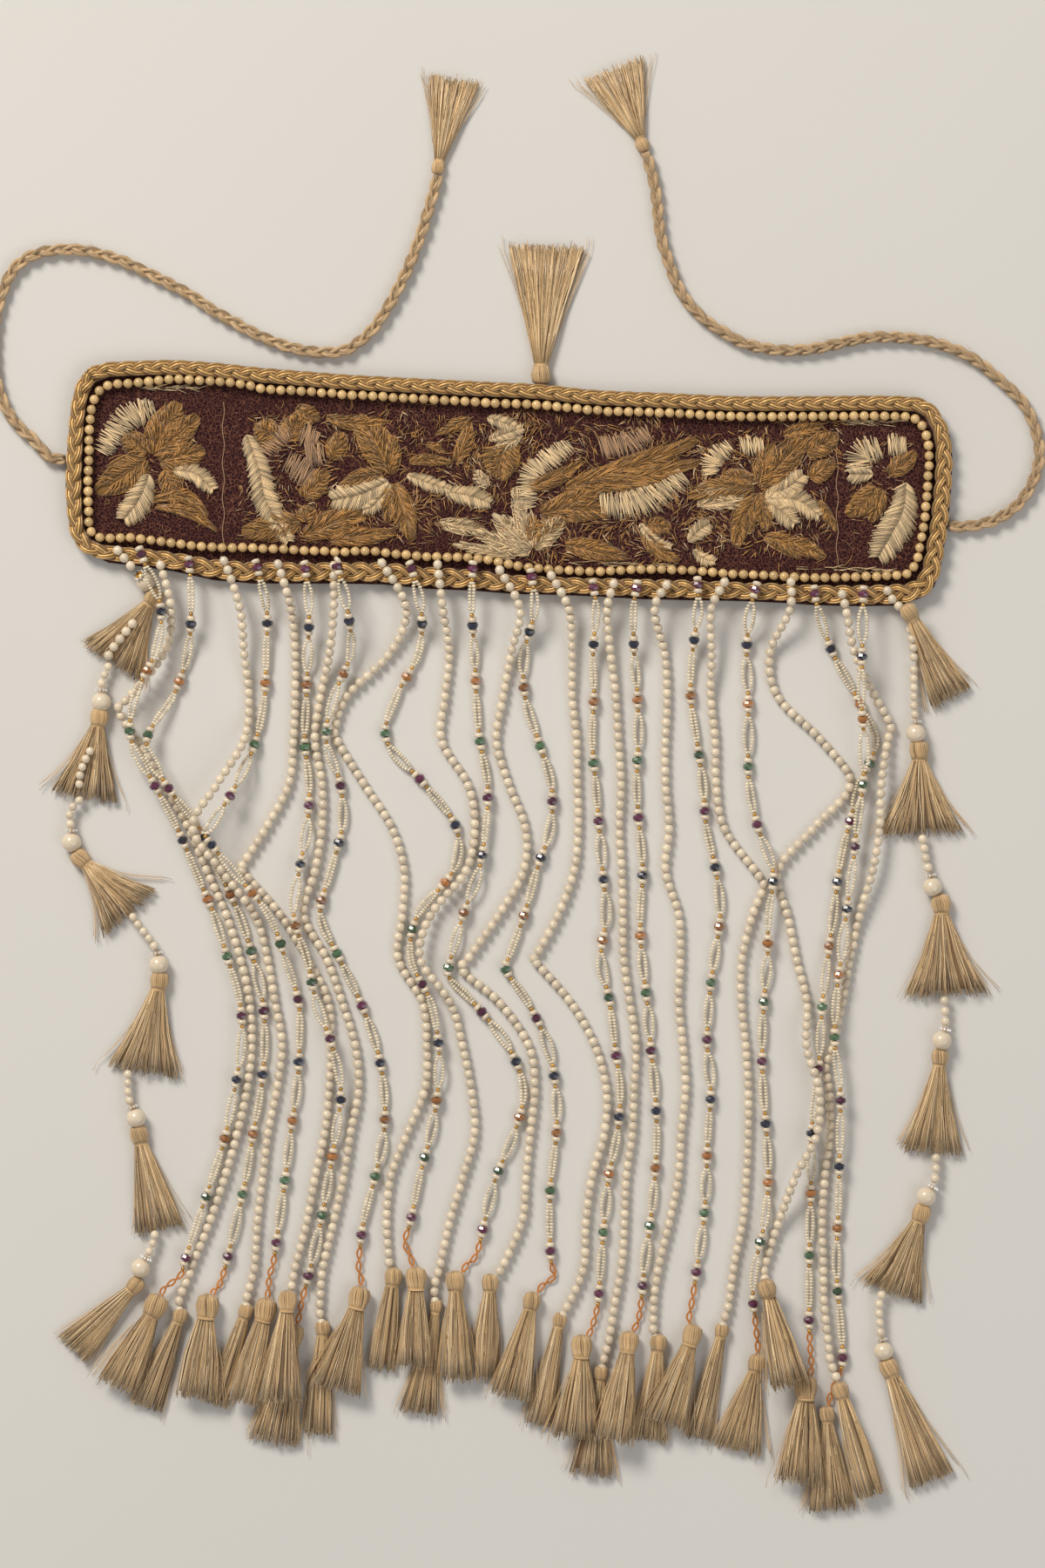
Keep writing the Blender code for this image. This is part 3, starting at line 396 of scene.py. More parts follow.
# Low petals, in the same form.
STAR_THREADS = [
    ((612, 628), (590, 560), 24, 26, 0), ((610, 630), (566, 590), 26, 30, 0),
    ((614, 630), (650, 590), 26, 30, 0), ((612, 630), (612, 590), 22, 24, 0),
    ((608, 636), (540, 610), 20, 26, 0), ((560, 560), (545, 540), 18, 18, 0),
    ((592, 640), (520, 625), 16, 18, 0), ((505, 600), (560, 610), 20, 26, 0),
    ((650, 600), (600, 612), 18, 20, 0), ((800, 560), (860, 572), 20, 26, 0),
    ((800, 580), (858, 578), 18, 22, 0), ((540, 480), (500, 500), 14, 16, 0),
    ((490, 510), (512, 520), 12, 12, 0), ((600, 500), (560, 525), 16, 18, 0),
]
# Patches of short straight stitches: middle, size, number tried, length in millimetres.
SCATTER = [
    ((345, 520), (100, 90), 221, 3.6), ((400, 600), (130, 50), 187, 3.2), ((440, 500), (90, 50), 127, 3.2),
    ((520, 580), (120, 90), 280, 4.2), ((560, 510), (120, 60), 221, 3.6), ((640, 620), (130, 50), 204, 4.0),
    ((700, 540), (160, 110), 357, 4.2), ((770, 600), (120, 90), 280, 3.6), ((830, 560), (110, 130), 323, 4.0),
    ((900, 600), (100, 70), 221, 3.6), ((930, 510), (70, 60), 144, 3.2), ((1010, 560), (70, 110), 127, 3.0),
    ((185, 545), (90, 100), 110, 3.0), ((300, 590), (60, 60), 102, 3.2),
]
# Patches of loose wandering threads: middle, size, number tried.
SCRIBBLES = [
    ((400, 540), (150, 150), 75), ((620, 550), (120, 170), 85), ((760, 560), (160, 150), 100),
    ((900, 560), (110, 150), 75), ((480, 600), (130, 60), 45), ((200, 540), (80, 120), 20),
    ((520, 500), (120, 60), 50),
]
# Rows of pale stitches by the border: left end, right end.
EDGE_ROWS = [
    ((160, 446), (240, 446)), ((905, 652), (1040, 656)), ((965, 486), (1045, 484)), ((650, 646), (780, 650)),
]
# Couched lines across the ground: x, top, foot.
COUCHED_LINES = [(257, 462, 634), (961, 492, 650)]

# Where everything lies.


def flat(point):
    """A photo pixel as millimetres on the floor."""
    return np.array([(point[0] - MIDDLE_X) * PX, (MIDDLE_Y - point[1]) * PX])


def smooth(points, step=1.5):
    """A Catmull-Rom line through the points, a dot every step millimetres or so."""
    points = np.array(points, float)
    padded = np.vstack([2 * points[0] - points[1], points, 2 * points[-1] - points[-2]])
    line = []
    for i in range(len(points) - 1):
        before, start, end, after = padded[i : i + 4]
        count = max(2, int(np.linalg.norm(end - start) / step))
        for t in np.arange(count) / count:
            line.append(
                0.5 * (2 * start + (end - before) * t + (2 * before - 5 * start + 4 * end - after) * t**2
                       + (3 * start - before - 3 * end + after) * t**3)
            )
    line.append(points[-1])
    return np.array(line)


def distances(line):
    """How far along the line each of its dots is."""
    return np.concatenate([[0], np.cumsum(np.linalg.norm(np.diff(line, axis=0), axis=1))])


def unit(vector):
    """The vector, or each row of vectors, at length one."""
    return vector / np.maximum(np.linalg.norm(vector, axis=-1, keepdims=True), 1e-9)


def thinned(line, tolerance, longest):
    """The fewest dots that keep the line within tolerance, none further apart than longest."""
    keep = {0, len(line) - 1}
    spans = [(0, len(line) - 1)]
    while spans:
        low, high = spans.pop()
        if high - low < 2:
            continue
        chord = line[high] - line[low]
        length = np.linalg.norm(chord)
        away = line[low + 1 : high] - line[low]
        off = np.abs(away[:, 0] * chord[1] - away[:, 1] * chord[0]) / max(length, 1e-9)
        worst = int(off.argmax())
        if off[worst] > tolerance or length > longest:
            middle = low + 1 + worst if off[worst] > tolerance else (low + high) // 2
            keep.add(middle)
            spans += [(low, middle), (middle, high)]
    return line[sorted(keep)]


class Pile:
    """Dots of all that lies there: place, height, half width, half height, 1.0 for a round string."""

    def __init__(self):
        self.dots = np.zeros((0, 6))

    def add(self, dots):
        """Lays these dots on the pile."""
        self.dots = np.vstack([self.dots, dots])

    def clear_height(self, place, half_width, half_height, is_round):
        """The lowest middle height at which a section clears the floor, the band and the dots below it."""
        height = half_height
        x = place[0] / PX + MIDDLE_X
        y = MIDDLE_Y - place[1] / PX
        over_edge = np.interp(x, BOTTOM_X, BOTTOM_Y) + (half_width + GAP) / PX
        if y < over_edge and BAND_LEFT < x < BAND_RIGHT:
            height = max(height, PANEL_TOP + GAP + half_height)
        near = self.dots[np.hypot(self.dots[:, 0] - place[0], self.dots[:, 1] - place[1]) < 40]
        if not len(near):
            return height
        distance = np.hypot(near[:, 0] - place[0], near[:, 1] - place[1])
        reach = half_width + near[:, 3] + GAP
        rise = half_height + near[:, 4] + GAP
        both_round = is_round & (near[:, 5] > 0.5)
        stacked = np.where(
            both_round, rise * np.sqrt(np.clip(1 - (distance / reach) ** 2, 0, 1)), rise
        )
        over = distance < reach
        return max([height, *(near[over, 2] + stacked[over])])


def sections_between(stations):
    """Places about a millimetre apart along each span of the stations (x, y, half width, half height)."""
    spans = []
    for start, end in zip(stations[:-1], stations[1:]):
        count = max(2, int(np.linalg.norm(end[:2] - start[:2])) + 1)
        spans.append([start + (end - start) * t for t in np.linspace(0, 1, count)])
    return spans


def settle(pile, stations, is_round, slope=SLOPE, least=0.0):
    """Heights at which the stations clear the pile, no span steeper than slope; then they join the pile."""
    spans = sections_between(stations)
    needs = [max(pile.clear_height(s[:2], s[2], s[3], is_round) for s in span) for span in spans]
    heights = np.array([max(needs[max(i - 1, 0) : i + 1]) for i in range(len(stations))])
    heights = np.maximum(heights, least)
    steps = np.linalg.norm(np.diff(stations[:, :2], axis=0), axis=1)
    for i in range(1, len(heights)):
        heights[i] = max(heights[i], heights[i - 1] - slope * steps[i - 1])
    for i in range(len(heights) - 2, -1, -1):
        heights[i] = max(heights[i], heights[i + 1] - slope * steps[i])
    dots = []
    for i, span in enumerate(spans):
        for k, s in enumerate(span):
            t = k / (len(span) - 1)
            z = heights[i] * (1 - t) + heights[i + 1] * t
            dots.append((s[0], s[1], z, s[2], s[3], float(is_round)))
    pile.add(np.array(dots))
    return heights


# Bottom edge of the band in photo pixels, left to right.
BAND_LEFT, BAND_RIGHT = 76, 1093
bottom = sorted(outer for outer, inner in BRAID_EDGES if outer[1] > 600)
BOTTOM_X = [BAND_LEFT] + [x for x, y in bottom] + [BAND_RIGHT]
BOTTOM_Y = [600] + [y for x, y in bottom] + [620]


def tassel_parts(spec):
    """Sections down a tassel: (place along the photo floor, half width, half height) and its direction."""
    head, width, end, end_width, middle_width = spec
    top = flat(head)
    foot = flat(end)
    way = unit(foot - top)
    length = np.linalg.norm(foot - top)
    w = width * PX
    head_rows = [
        (-0.46 * w, 0.24 * w, 0.22 * w), (-0.30 * w, 0.42 * w, 0.36 * w), (0.05 * w, 0.50 * w, 0.42 * w),
        (0.34 * w, 0.43 * w, 0.38 * w), (0.52 * w, 0.36 * w, 0.30 * w),
    ]
    skirt_rows = [
        (0.66 * w, 0.42 * w, min(0.34 * w, 2.6)),
        (0.5 * (length + 0.6 * w), middle_width * PX / 2, 2.1),
        (length - 0.6, end_width * PX / 2, 1.6),
    ]
    return top, way, head_rows, skirt_rows


def tassel_stations(spec):
    """The tassel's sections as stations: x, y, half width, half height."""
    top, way, head_rows, skirt_rows = tassel_parts(spec)
    return np.array([[*(top + way * d), a, b] for d, a, b in head_rows + skirt_rows])


pile = Pile()


def edge_dots(line, half_widths, half_height, height):
    """Dots of a closed loop on the band, for the pile."""
    count = len(line)
    for i in range(count):
        start, end = line[i], line[(i + 1) % count]
        steps = max(2, int(np.linalg.norm(end - start)))
        for t in np.arange(steps) / steps:
            place = start + (end - start) * t
            wide = half_widths[i] * (1 - t) + half_widths[(i + 1) % count] * t
            pile.add(np.array([[place[0], place[1], height, wide, half_height, 0.0]]))


braid_line = [(flat(outer) + flat(inner)) / 2 for outer, inner in BRAID_EDGES]
braid_widths = [np.linalg.norm(flat(outer) - flat(inner)) / 2 for outer, inner in BRAID_EDGES]
edge_dots(braid_line, braid_widths, BRAID_HALF_HEIGHT, BRAID_Z)
border_line = [flat(p) for p in BORDER_LINE]
edge_dots(border_line, [BORDER_RADIUS] * len(border_line), BORDER_RADIUS, BORDER_Z)


def from_skirt(route, spec):
    """The route moved up or down so that it begins just clear of the tassel's ends above it."""
    foot = flat(spec[2])
    way = unit(foot - flat(spec[0]))
    start = flat(route[0])
    start = start + way * (0.2 - (start - foot) @ way)
    return [start] + [flat(p) for p in route[1:]]


# Sections of a big pearl, in parts of its radius: place along the string and radius.
BIG_PEARL_ROWS = ((-0.98, 0.36), (-0.72, 0.72), (-0.3, 0.96), (0.3, 0.96), (0.72, 0.66))


def drop(key, route, big, spec, above):
    """Where one length of a side string lies: its line, stations and heights, and its tassel's heights."""
    places = from_skirt(route, above) if above else [flat(p) for p in route]
    whole = smooth(places)
    line = thinned(whole, 0.3, 16.0)
    stations = [[*p, STRING_RADIUS, STRING_RADIUS] for p in line]
    if above:
        way = unit(line[1] - line[0])
        tip = [[*line[0], 0.5, 0.5], [*(line[0] + way * 1.4), STRING_RADIUS, STRING_RADIUS]]
        stations = tip + stations[1:]
    kept = len(stations)
    if big is not None:
        middle = flat(big)
        way = unit(flat(spec[0]) - flat(route[-1]))
        for d, r in BIG_PEARL_ROWS:
            stations.append([*(middle + way * d * BIG_RADIUS), r * BIG_RADIUS, r * BIG_RADIUS])
    string = np.array(stations)
    skirt = tassel_stations(spec)
    keep = np.linalg.norm(string[:, :2] - skirt[0, :2], axis=1) > 0.5
    string = string[keep]
    heights = settle(pile, string, True, least=string[:, 3].max() if big else 0.0)
    drop_heights = settle(band_pile(), skirt, False)
    drops[key] = (whole, string[:kept], np.maximum(heights[:kept], STRING_RADIUS), drop_heights)
    return skirt, drop_heights


def band_pile():
    """A pile of the band alone, for a tassel that nothing else lies under."""
    fresh = Pile()
    fresh.add(pile.dots[:band_dots])
    return fresh


def add_skirt(skirt, heights):
    """Puts a tassel's dots on the pile."""
    for i in range(len(skirt) - 1):
        steps = max(2, int(np.linalg.norm(skirt[i + 1, :2] - skirt[i, :2])))
        for t in np.arange(steps + 1) / steps:
            s = skirt[i] * (1 - t) + skirt[i + 1] * t
            z = heights[i] * (1 - t) + heights[i + 1] * t
            pile.add(np.array([[s[0], s[1], z, s[2], s[3], 0.0]]))


drops = {}
band_dots = len(pile.dots)
waiting = []
for side_name, rows in (("left", LEFT_DROPS), ("right", RIGHT_DROPS)):
    above = None
    for i, (route, big, spec) in enumerate(rows):
        waiting.append(drop((side_name, i), route, big, spec, above))
        above = None if (side_name, i) == ("right", 0) else spec
for skirt, heights in waiting:
    add_skirt(skirt, heights)


def route_line(key):
    """The smooth line that a strand's string follows, in millimetres on the floor."""
    start, at_levels, more, chain_from = STRANDS[key]
    route = [(x, y) for x, y in zip(at_levels, LEVELS) if x is not None] + list(more)
    return smooth([flat(p) for p in [start] + sorted(route, key=lambda p: p[1])])


def stations_of(key):
    """The few stations that stand for a strand's string: x, y and its radius, thin along the thread chain."""
    line = thinned(route_line(key), 0.75, 34.0)
    chain_from = STRANDS[key][3]
    chain_y = (MIDDLE_Y - chain_from) * PX if chain_from else -1e9
    radii = [CHAIN_RADIUS if p[1] < chain_y else STRING_RADIUS for p in line]
    return np.array([[*p, r, r] for p, r in zip(line, radii)])


# This strand's chain and tassel lie under its neighbours, though its string lies over them.
LOWEST_TAIL = "mixed_14"
tail_stations = stations_of(LOWEST_TAIL)
tail_count = int((tail_stations[:, 2] == CHAIN_RADIUS).sum())
tail_heights = settle(pile, tail_stations[-tail_count:], True)
tail_skirt = tassel_stations(TASSELS[LOWEST_TAIL])
tail_skirt_heights = settle(band_pile(), tail_skirt, False)
add_skirt(tail_skirt, tail_skirt_heights)

placed = {}
strings = {}
for key in STRING_PILE:
    stations = stations_of(key)
    if key == LOWEST_TAIL:
        upper = settle(pile, stations[:-tail_count], True)
        placed[key] = (stations, np.concatenate([upper, tail_heights]), tail_skirt_heights)
        continue
    dots_before = len(pile.dots)
    heights = settle(pile, stations, True)
    strings[key] = (stations, heights, dots_before, len(pile.dots))

for key in TASSEL_PILE:
    if key == LOWEST_TAIL:
        continue
    stations, string_heights, first, last = strings[key]
    hanging = tassel_stations(TASSELS[key])
    others = Pile()
    others.add(np.vstack([pile.dots[:first], pile.dots[last:]]))
    heights = settle(others, hanging, False, slope=TASSEL_SLOPE)
    add_skirt(hanging, heights)
    placed[key] = (stations, string_heights, heights)


# Materials.


def node_material(name):
    """A new material, its node tree and its shader."""
    made = bpy.data.materials.new(name)
    made.use_nodes = True
    tree = made.node_tree
    return made, tree, tree.nodes["Principled BSDF"]


def feed(tree, node, inputs):
    """Gives each input its value, or links it to another node's output."""
    for key, value in inputs.items():
        if isinstance(value, bpy.types.NodeSocket):
            tree.links.new(value, node.inputs[key])
        else:
            node.inputs[key].default_value = value


def add(tree, kind, inputs, out=0, **settings):
    """A new node with these settings and inputs; returns one of its outputs."""
    node = tree.nodes.new("ShaderNode" + kind)
    for key, value in settings.items():
        setattr(node, key, value)
    feed(tree, node, inputs)
    return node.outputs[out]


def own_place(tree):
    """The point's place in the object's own space."""
    return add(tree, "TexCoord", {}, out="Object")


def noise(tree, place, scale, detail=2.0, out="Fac"):
    """Cloudy noise."""
    return add(tree, "TexNoise", {"Vector": place, "Scale": scale, "Detail": detail}, out=out)


def times_plus(tree, source, factor, more):
    """The source times factor, plus more."""
    return add(tree, "Math", {0: source, 1: factor, 2: more}, operation="MULTIPLY_ADD")


def product(tree, first, second):
    """Two values multiplied."""
    return add(tree, "Math", {0: first, 1: second}, operation="MULTIPLY")


def toned(tree, shader, color, spread, speckle, scale):
    """Base colour times each bead's or thread's own tone, with a fine cloudy change across it."""
    tone = add(tree, "Attribute", {}, out="Fac", attribute_name="tone")
    place = own_place(tree)
    cloud = noise(tree, place, scale, 3.0)
    own = times_plus(tree, tone, 2 * spread, 1 - spread)
    mottle = times_plus(tree, cloud, 2 * speckle, 1 - speckle)
    both = product(tree, own, mottle)
    feed(tree, shader, {"Base Color": add(tree, "VectorMath", {0: color, "Scale": both}, operation="SCALE")})
    return place, cloud


def bump_from(tree, shader, source, strength, distance):
    """Raises the surface where the source is high."""
    bump = add(tree, "Bump", {"Strength": strength, "Distance": distance, "Height": source})
    feed(tree, shader, {"Normal": bump})


def bead_material(name, color, roughness, spread, coat, metallic=0.0, speckle=0.1, subsurface=0.0):
    """Pearl, glass or metal under a thin clear coat."""
    made, tree, shader = node_material(name)
    place, cloud = toned(tree, shader, color, spread, speckle, 700.0)
    feed(tree, shader, {
        "Roughness": times_plus(tree, cloud, 0.16, roughness - 0.08),
        "Coat Weight": coat,
        "Coat Roughness": 0.12,
        "Metallic": metallic,
        "Subsurface Weight": subsurface,
        "Subsurface Radius": (0.0016, 0.0011, 0.0007),
        "Subsurface Scale": 1.0,
    })
    return made


def thread_material(name, color, roughness, spread, metallic=0.0):
    """Silk, cotton or gilt thread with fine fibres."""
    made, tree, shader = node_material(name)
    place, cloud = toned(tree, shader, color, spread, 0.22, 1500.0)
    feed(tree, shader, {"Roughness": roughness, "Metallic": metallic, "Sheen Weight": 0.3})
    bump_from(tree, shader, noise(tree, place, 4000.0), 0.35, 0.0001)
    return made


def velvet_material():
    """Burgundy velvet with a net of fine paler lines, stronger in some patches."""
    made, tree, shader = node_material("velvet_ground")
    place = own_place(tree)
    warp = noise(tree, place, 520.0, out="Color")
    away = add(tree, "VectorMath", {0: warp, "Scale": 0.0022}, operation="SCALE")
    moved = add(tree, "VectorMath", {0: place, 1: away}, operation="ADD")
    cells = {"Vector": moved, "Scale": 760.0}
    edge = add(tree, "TexVoronoi", cells, out="Distance", feature="DISTANCE_TO_EDGE")
    fall = {"Value": edge, "From Min": 0.02, "From Max": 0.11, "To Min": 1.0, "To Max": 0.0}
    line = add(tree, "MapRange", fall)
    shown = product(tree, line, times_plus(tree, noise(tree, place, 60.0), 0.9, 0.15))
    pile_color, line_color = (0.022, 0.003, 0.006, 1.0), (0.25, 0.10, 0.06, 1.0)
    color = add(tree, "Mix", {0: shown, 6: pile_color, 7: line_color}, out=2, data_type="RGBA")
    feed(tree, shader, {
        "Base Color": color, "Roughness": 0.8, "Specular IOR Level": 0.15, "Sheen Weight": 0.08,
    })
    bump_from(tree, shader, shown, 0.6, 0.0004)
    return made


M = {
    "pearl": bead_material("cream_pearl", (0.78, 0.66, 0.50), 0.26, 0.10, 0.5, subsurface=0.15),
    "golden": bead_material("golden_pearl", (0.68, 0.46, 0.21), 0.20, 0.16, 0.5),
    "seed": bead_material("cream_seed", (0.82, 0.71, 0.53), 0.30, 0.16, 0.4),
    "gold": bead_material("gold_bead", (0.62, 0.34, 0.07), 0.22, 0.25, 0.6, metallic=0.55),
    "purple": bead_material("purple_glass", (0.105, 0.018, 0.055), 0.16, 0.3, 0.8, speckle=0.3),
    "navy": bead_material("navy_glass", (0.016, 0.020, 0.042), 0.16, 0.3, 0.8, speckle=0.3),
    "green": bead_material("green_glass", (0.060, 0.125, 0.060), 0.16, 0.45, 0.8, speckle=0.3),
    "amber": bead_material("amber_glass", (0.36, 0.14, 0.035), 0.16, 0.4, 0.8, speckle=0.3),
    "stone": bead_material("clear_stone", (0.86, 0.84, 0.80), 0.06, 0.1, 1.0, metallic=0.35),
    "silk": thread_material("beige_silk", (0.56, 0.375, 0.185), 0.42, 0.55),
    # Brighter and darker copies of the beige silk: painted glints and painted shade for tassel threads and
    # cores.
    "silk_painted_glint": thread_material("beige_silk_painted_glint", (0.84, 0.64, 0.39), 0.34, 0.35),
    "silk_shade": thread_material("beige_silk_painted_shade", (0.24, 0.135, 0.055), 0.65, 0.3),
    "orange": thread_material("orange_thread", (0.56, 0.20, 0.03), 0.45, 0.25),
    "white": thread_material("white_thread", (0.70, 0.62, 0.50), 0.7, 0.15),
    "braid": thread_material("gold_cord", (0.56, 0.335, 0.115), 0.36, 0.6, metallic=0.3),
    # Dark copy of the gold cord: painted shade beneath the plait.
    "braid_painted_shade": thread_material("gold_cord_painted_shade", (0.24, 0.11, 0.03), 0.6, 0.2, metallic=0.2),
    "tie": thread_material("tie_silk", (0.48, 0.325, 0.175), 0.55, 0.45),
    "ochre": thread_material("ochre_thread", (0.44, 0.22, 0.052), 0.42, 0.6),
    "pale": thread_material("pale_thread", (0.78, 0.58, 0.33), 0.42, 0.45),
    "dusky": thread_material("dusky_thread", (0.46, 0.27, 0.14), 0.45, 0.5),
}
M["velvet"] = velvet_material()


# Shapes.

UP = np.array([0, 0, 1.0])


def side_of(way):
    """The level direction square to this one."""
    return np.array([way[1], -way[0], 0.0])


class Piece:
    """Gathers the points and faces of one object, in millimetres, each part with its material and tone."""

    def __init__(self):
        self.points, self.faces, self.tones, self.slots, self.flats = [], [], [], [], []
        self.count = 0
        self.names = []

    def slot(self, name):
        """The number of this material on the piece."""
        if name not in self.names:
            self.names.append(name)
        return self.names.index(name)

    def put(self, points, faces, name, tone, flat_shaded=False):
        """Adds a shape; a triangle is a quad whose last two corners are the same."""
        points = np.asarray(points, np.float64)
        faces = np.asarray(faces, np.int64)
        self.points.append(points)
        self.faces.append(faces + self.count)
        self.tones.append(np.full(len(points), tone))
        self.slots.append(np.full(len(faces), self.slot(name)))
        self.flats.append(np.full(len(faces), flat_shaded))
        self.count += len(points)

    def build(self, name):
        """Makes the object, in metres."""
        points = np.vstack(self.points) * 0.001
        faces = np.vstack(self.faces)
        mesh = bpy.data.meshes.new(name)
        mesh.vertices.add(len(points))
        mesh.vertices.foreach_set("co", points.astype(np.float32).ravel())
        sizes = np.where(faces[:, 3] == faces[:, 2], 3, 4)
        loops = faces[np.arange(4)[None, :] < sizes[:, None]]
        starts = np.concatenate([[0], np.cumsum(sizes)[:-1]])
        mesh.loops.add(len(loops))
        mesh.loops.foreach_set("vertex_index", loops.astype(np.int32))
        mesh.polygons.add(len(faces))
        mesh.polygons.foreach_set("loop_start", starts.astype(np.int32))
        mesh.polygons.foreach_set("material_index", np.concatenate(self.slots).astype(np.int32))
        mesh.polygons.foreach_set("use_smooth", ~np.concatenate(self.flats))
        mesh.update(calc_edges=True)
        tones = mesh.attributes.new("tone", "FLOAT", "POINT")
        tones.data.foreach_set("value", np.concatenate(self.tones).astype(np.float32))
        for used in self.names:
            mesh.materials.append(M[used])
        made = bpy.data.objects.new(name, mesh)
        bpy.context.scene.collection.objects.link(made)
        return made


def ball_template(around, rows, square=1.0):
    """A unit ball whose poles are along +X, as points and quads; a low square makes it more like a drum."""
    points = [(1.0, 0.0, 0.0)]
    for i in range(1, rows):
        polar = math.pi * i / rows
        for k in range(around):
            turn = 2 * math.pi * k / around
            wide = math.sin(polar) ** square
            points.append((math.cos(polar), wide * math.cos(turn), wide * math.sin(turn)))
    points.append((-1.0, 0.0, 0.0))
    faces = []
    for k in range(around):
        nxt = (k + 1) % around
        faces.append((0, 1 + k, 1 + nxt, 1 + nxt))
        for i in range(rows - 2):
            low, high = 1 + i * around, 1 + (i + 1) * around
            faces.append((low + k, high + k, high + nxt, low + nxt))
        last = 1 + (rows - 2) * around
        faces.append((last + k, len(points) - 1, last + nxt, last + nxt))
    return np.array(points), np.array(faces)


PEARL = ball_template(9, 6)
SEED = ball_template(6, 3, 0.55)
DISC = ball_template(9, 4, 0.6)
FACETED = ball_template(8, 4, 0.45)
BIG_PEARL = ball_template(20, 12)
TINY = ball_template(5, 3)


def bead(piece, template, middle, way, length, width, name, tone, flat_shaded=False):
    """A bead of that length along way and that width across."""
    way = unit(way)
    side = unit(np.cross(way, UP))
    up = np.cross(way, side)
    local = template[0] * (length / 2, width / 2, width / 2)
    points = middle + local[:, :1] * way + local[:, 1:2] * side + local[:, 2:3] * up
    piece.put(points, template[1], name, tone, flat_shaded)


def skin(piece, rings, name, tone):
    """A closed skin over a row of rings of points."""
    count, sides = rings.shape[:2]
    k = np.arange(sides)
    nxt = (k + 1) % sides
    row = np.arange(count - 1)[:, None] * sides
    faces = np.stack([row + k + sides, row + nxt + sides, row + nxt, row + k], axis=-1).reshape(-1, 4)
    last = (count - 1) * sides
    ends = [(0, i, i + 1, i + 1) for i in range(1, sides - 1)]
    ends += [(last, last + i + 1, last + i, last + i) for i in range(1, sides - 1)]
    piece.put(rings.reshape(-1, 3), np.vstack([faces, ends]), name, tone)


def tube(piece, line, radius, name, tone, sides=6, end_radius=None):
    """A closed round tube along a line of points."""
    line = np.asarray(line, float)
    ways = unit(np.gradient(line, axis=0))
    side = np.cross(ways, UP)
    weak = np.linalg.norm(side, axis=1) < 0.05
    side[weak] = (1.0, 0.0, 0.0)
    side = unit(side)
    up = np.cross(side, ways)
    radii = np.linspace(radius, radius if end_radius is None else end_radius, len(line))
    turn = 2 * np.pi * np.arange(sides) / sides
    out = np.cos(turn)[None, :, None] * side[:, None, :] + np.sin(turn)[None, :, None] * up[:, None, :]
    skin(piece, line[:, None, :] + radii[:, None, None] * out, name, tone)


def elliptical(piece, middles, side, half_widths, half_heights, name, tone, sides):
    """A closed body of elliptical rings that lies along a level line."""
    turn = 2 * np.pi * np.arange(sides) / sides
    out = np.cos(turn)[:, None] * side
    up = np.sin(turn)[:, None] * UP
    rings = [middle + a * out + b * up for middle, a, b in zip(middles, half_widths, half_heights)]
    skin(piece, np.array(rings), name, tone)


class Route:
    """A smooth line through the air that beads are strung on."""

    def __init__(self, flat_line, stations, heights):
        at = distances(flat_line)
        station_at = []
        for station in stations:
            station_at.append(at[int(np.argmin(np.linalg.norm(flat_line - station[:2], axis=1)))])
        z = np.interp(at, station_at, heights)
        kernel = np.ones(5) / 5
        padded = np.concatenate([[z[0]] * 2, z, [z[-1]] * 2])
        z = np.maximum(z, np.convolve(padded, kernel, "valid"))
        self.line = np.column_stack([flat_line, z])
        self.at = distances(self.line)
        self.length = self.at[-1]

    def point(self, s):
        """The point s along the route."""
        return np.array([np.interp(s, self.at, self.line[:, i]) for i in range(3)])

    def way(self, s):
        """The direction of the route at s."""
        return unit(self.point(min(s + 0.8, self.length)) - self.point(max(s - 0.8, 0)))


# Tassels.


class TasselForm:
    """A tassel's middle line, and its half width and half height along it."""

    def __init__(self, spec, heights):
        top, way, head_rows, skirt_rows = tassel_parts(spec)
        self.marks, self.wide, self.deep = np.array(head_rows + skirt_rows).T
        self.heights = np.array(heights)
        self.start = np.array([*top, 0.0])
        self.along = np.array([*way, 0.0])
        self.side = side_of(way)
        self.neck = head_rows[-1][0]
        self.end = skirt_rows[-1][0]

    def size(self, d):
        """Half width and half height at the distance d."""
        return np.interp(d, self.marks, self.wide), np.interp(d, self.marks, self.deep)

    def point(self, d, across=0.0, up=0.0, shift=0.0):
        """The point of the middle line at d, moved across, up and along."""
        z = np.interp(d, self.marks, self.heights) + up
        return self.start + self.along * (d + shift) + self.side * across + UP * z

    def core(self, piece, steps, wide, deep, tone, sides):
        """A dark body of painted shade, seen between the threads, that fills this share of the width and
        height.
        """
        half_widths = [self.size(d)[0] * wide for d in steps]
        half_heights = [self.size(d)[1] * deep for d in steps]
        middles = [self.point(d) for d in steps]
        elliptical(piece, middles, self.side, half_widths, half_heights, "silk_shade", tone, sides)


def wrap_head(piece, form, radius, local):
    """Threads wrapped lengthwise round a ball."""
    steps = np.linspace(form.marks[0], form.neck, 7)
    for k in range(HEAD_TURNS):
        angle = 2 * math.pi * (k + 0.5) / HEAD_TURNS + local.normal(0, 0.03)
        line = []
        for i, d in enumerate(steps):
            a, b = form.size(d)
            share = 0.93 if i else 0.93 * 0.35
            twist = angle + 0.35 * i / (len(steps) - 1)
            line.append(form.point(d, a * share * math.cos(twist), b * share * math.sin(twist)))
        tube(piece, line, radius, "silk", local.uniform(0.3, 0.75), 4)
    # A dark core of painted shade under the wrapped threads.
    form.core(piece, steps, 0.86, 0.86, 0.5, 14)


def bind_neck(piece, form, local):
    """Turns of thread under the head."""
    a, b = form.size(form.neck)
    for n in range(NECK_TURNS):
        d = form.neck + (n - 0.6) * 0.42
        loop = []
        for q in np.linspace(0, 2 * math.pi, 13):
            loop.append(form.point(d, 1.03 * a * math.cos(q), 1.03 * b * math.sin(q), 0.15 * math.sin(q)))
        tube(piece, loop, NECK_THREAD, "silk", local.uniform(0.5, 0.95), 4)


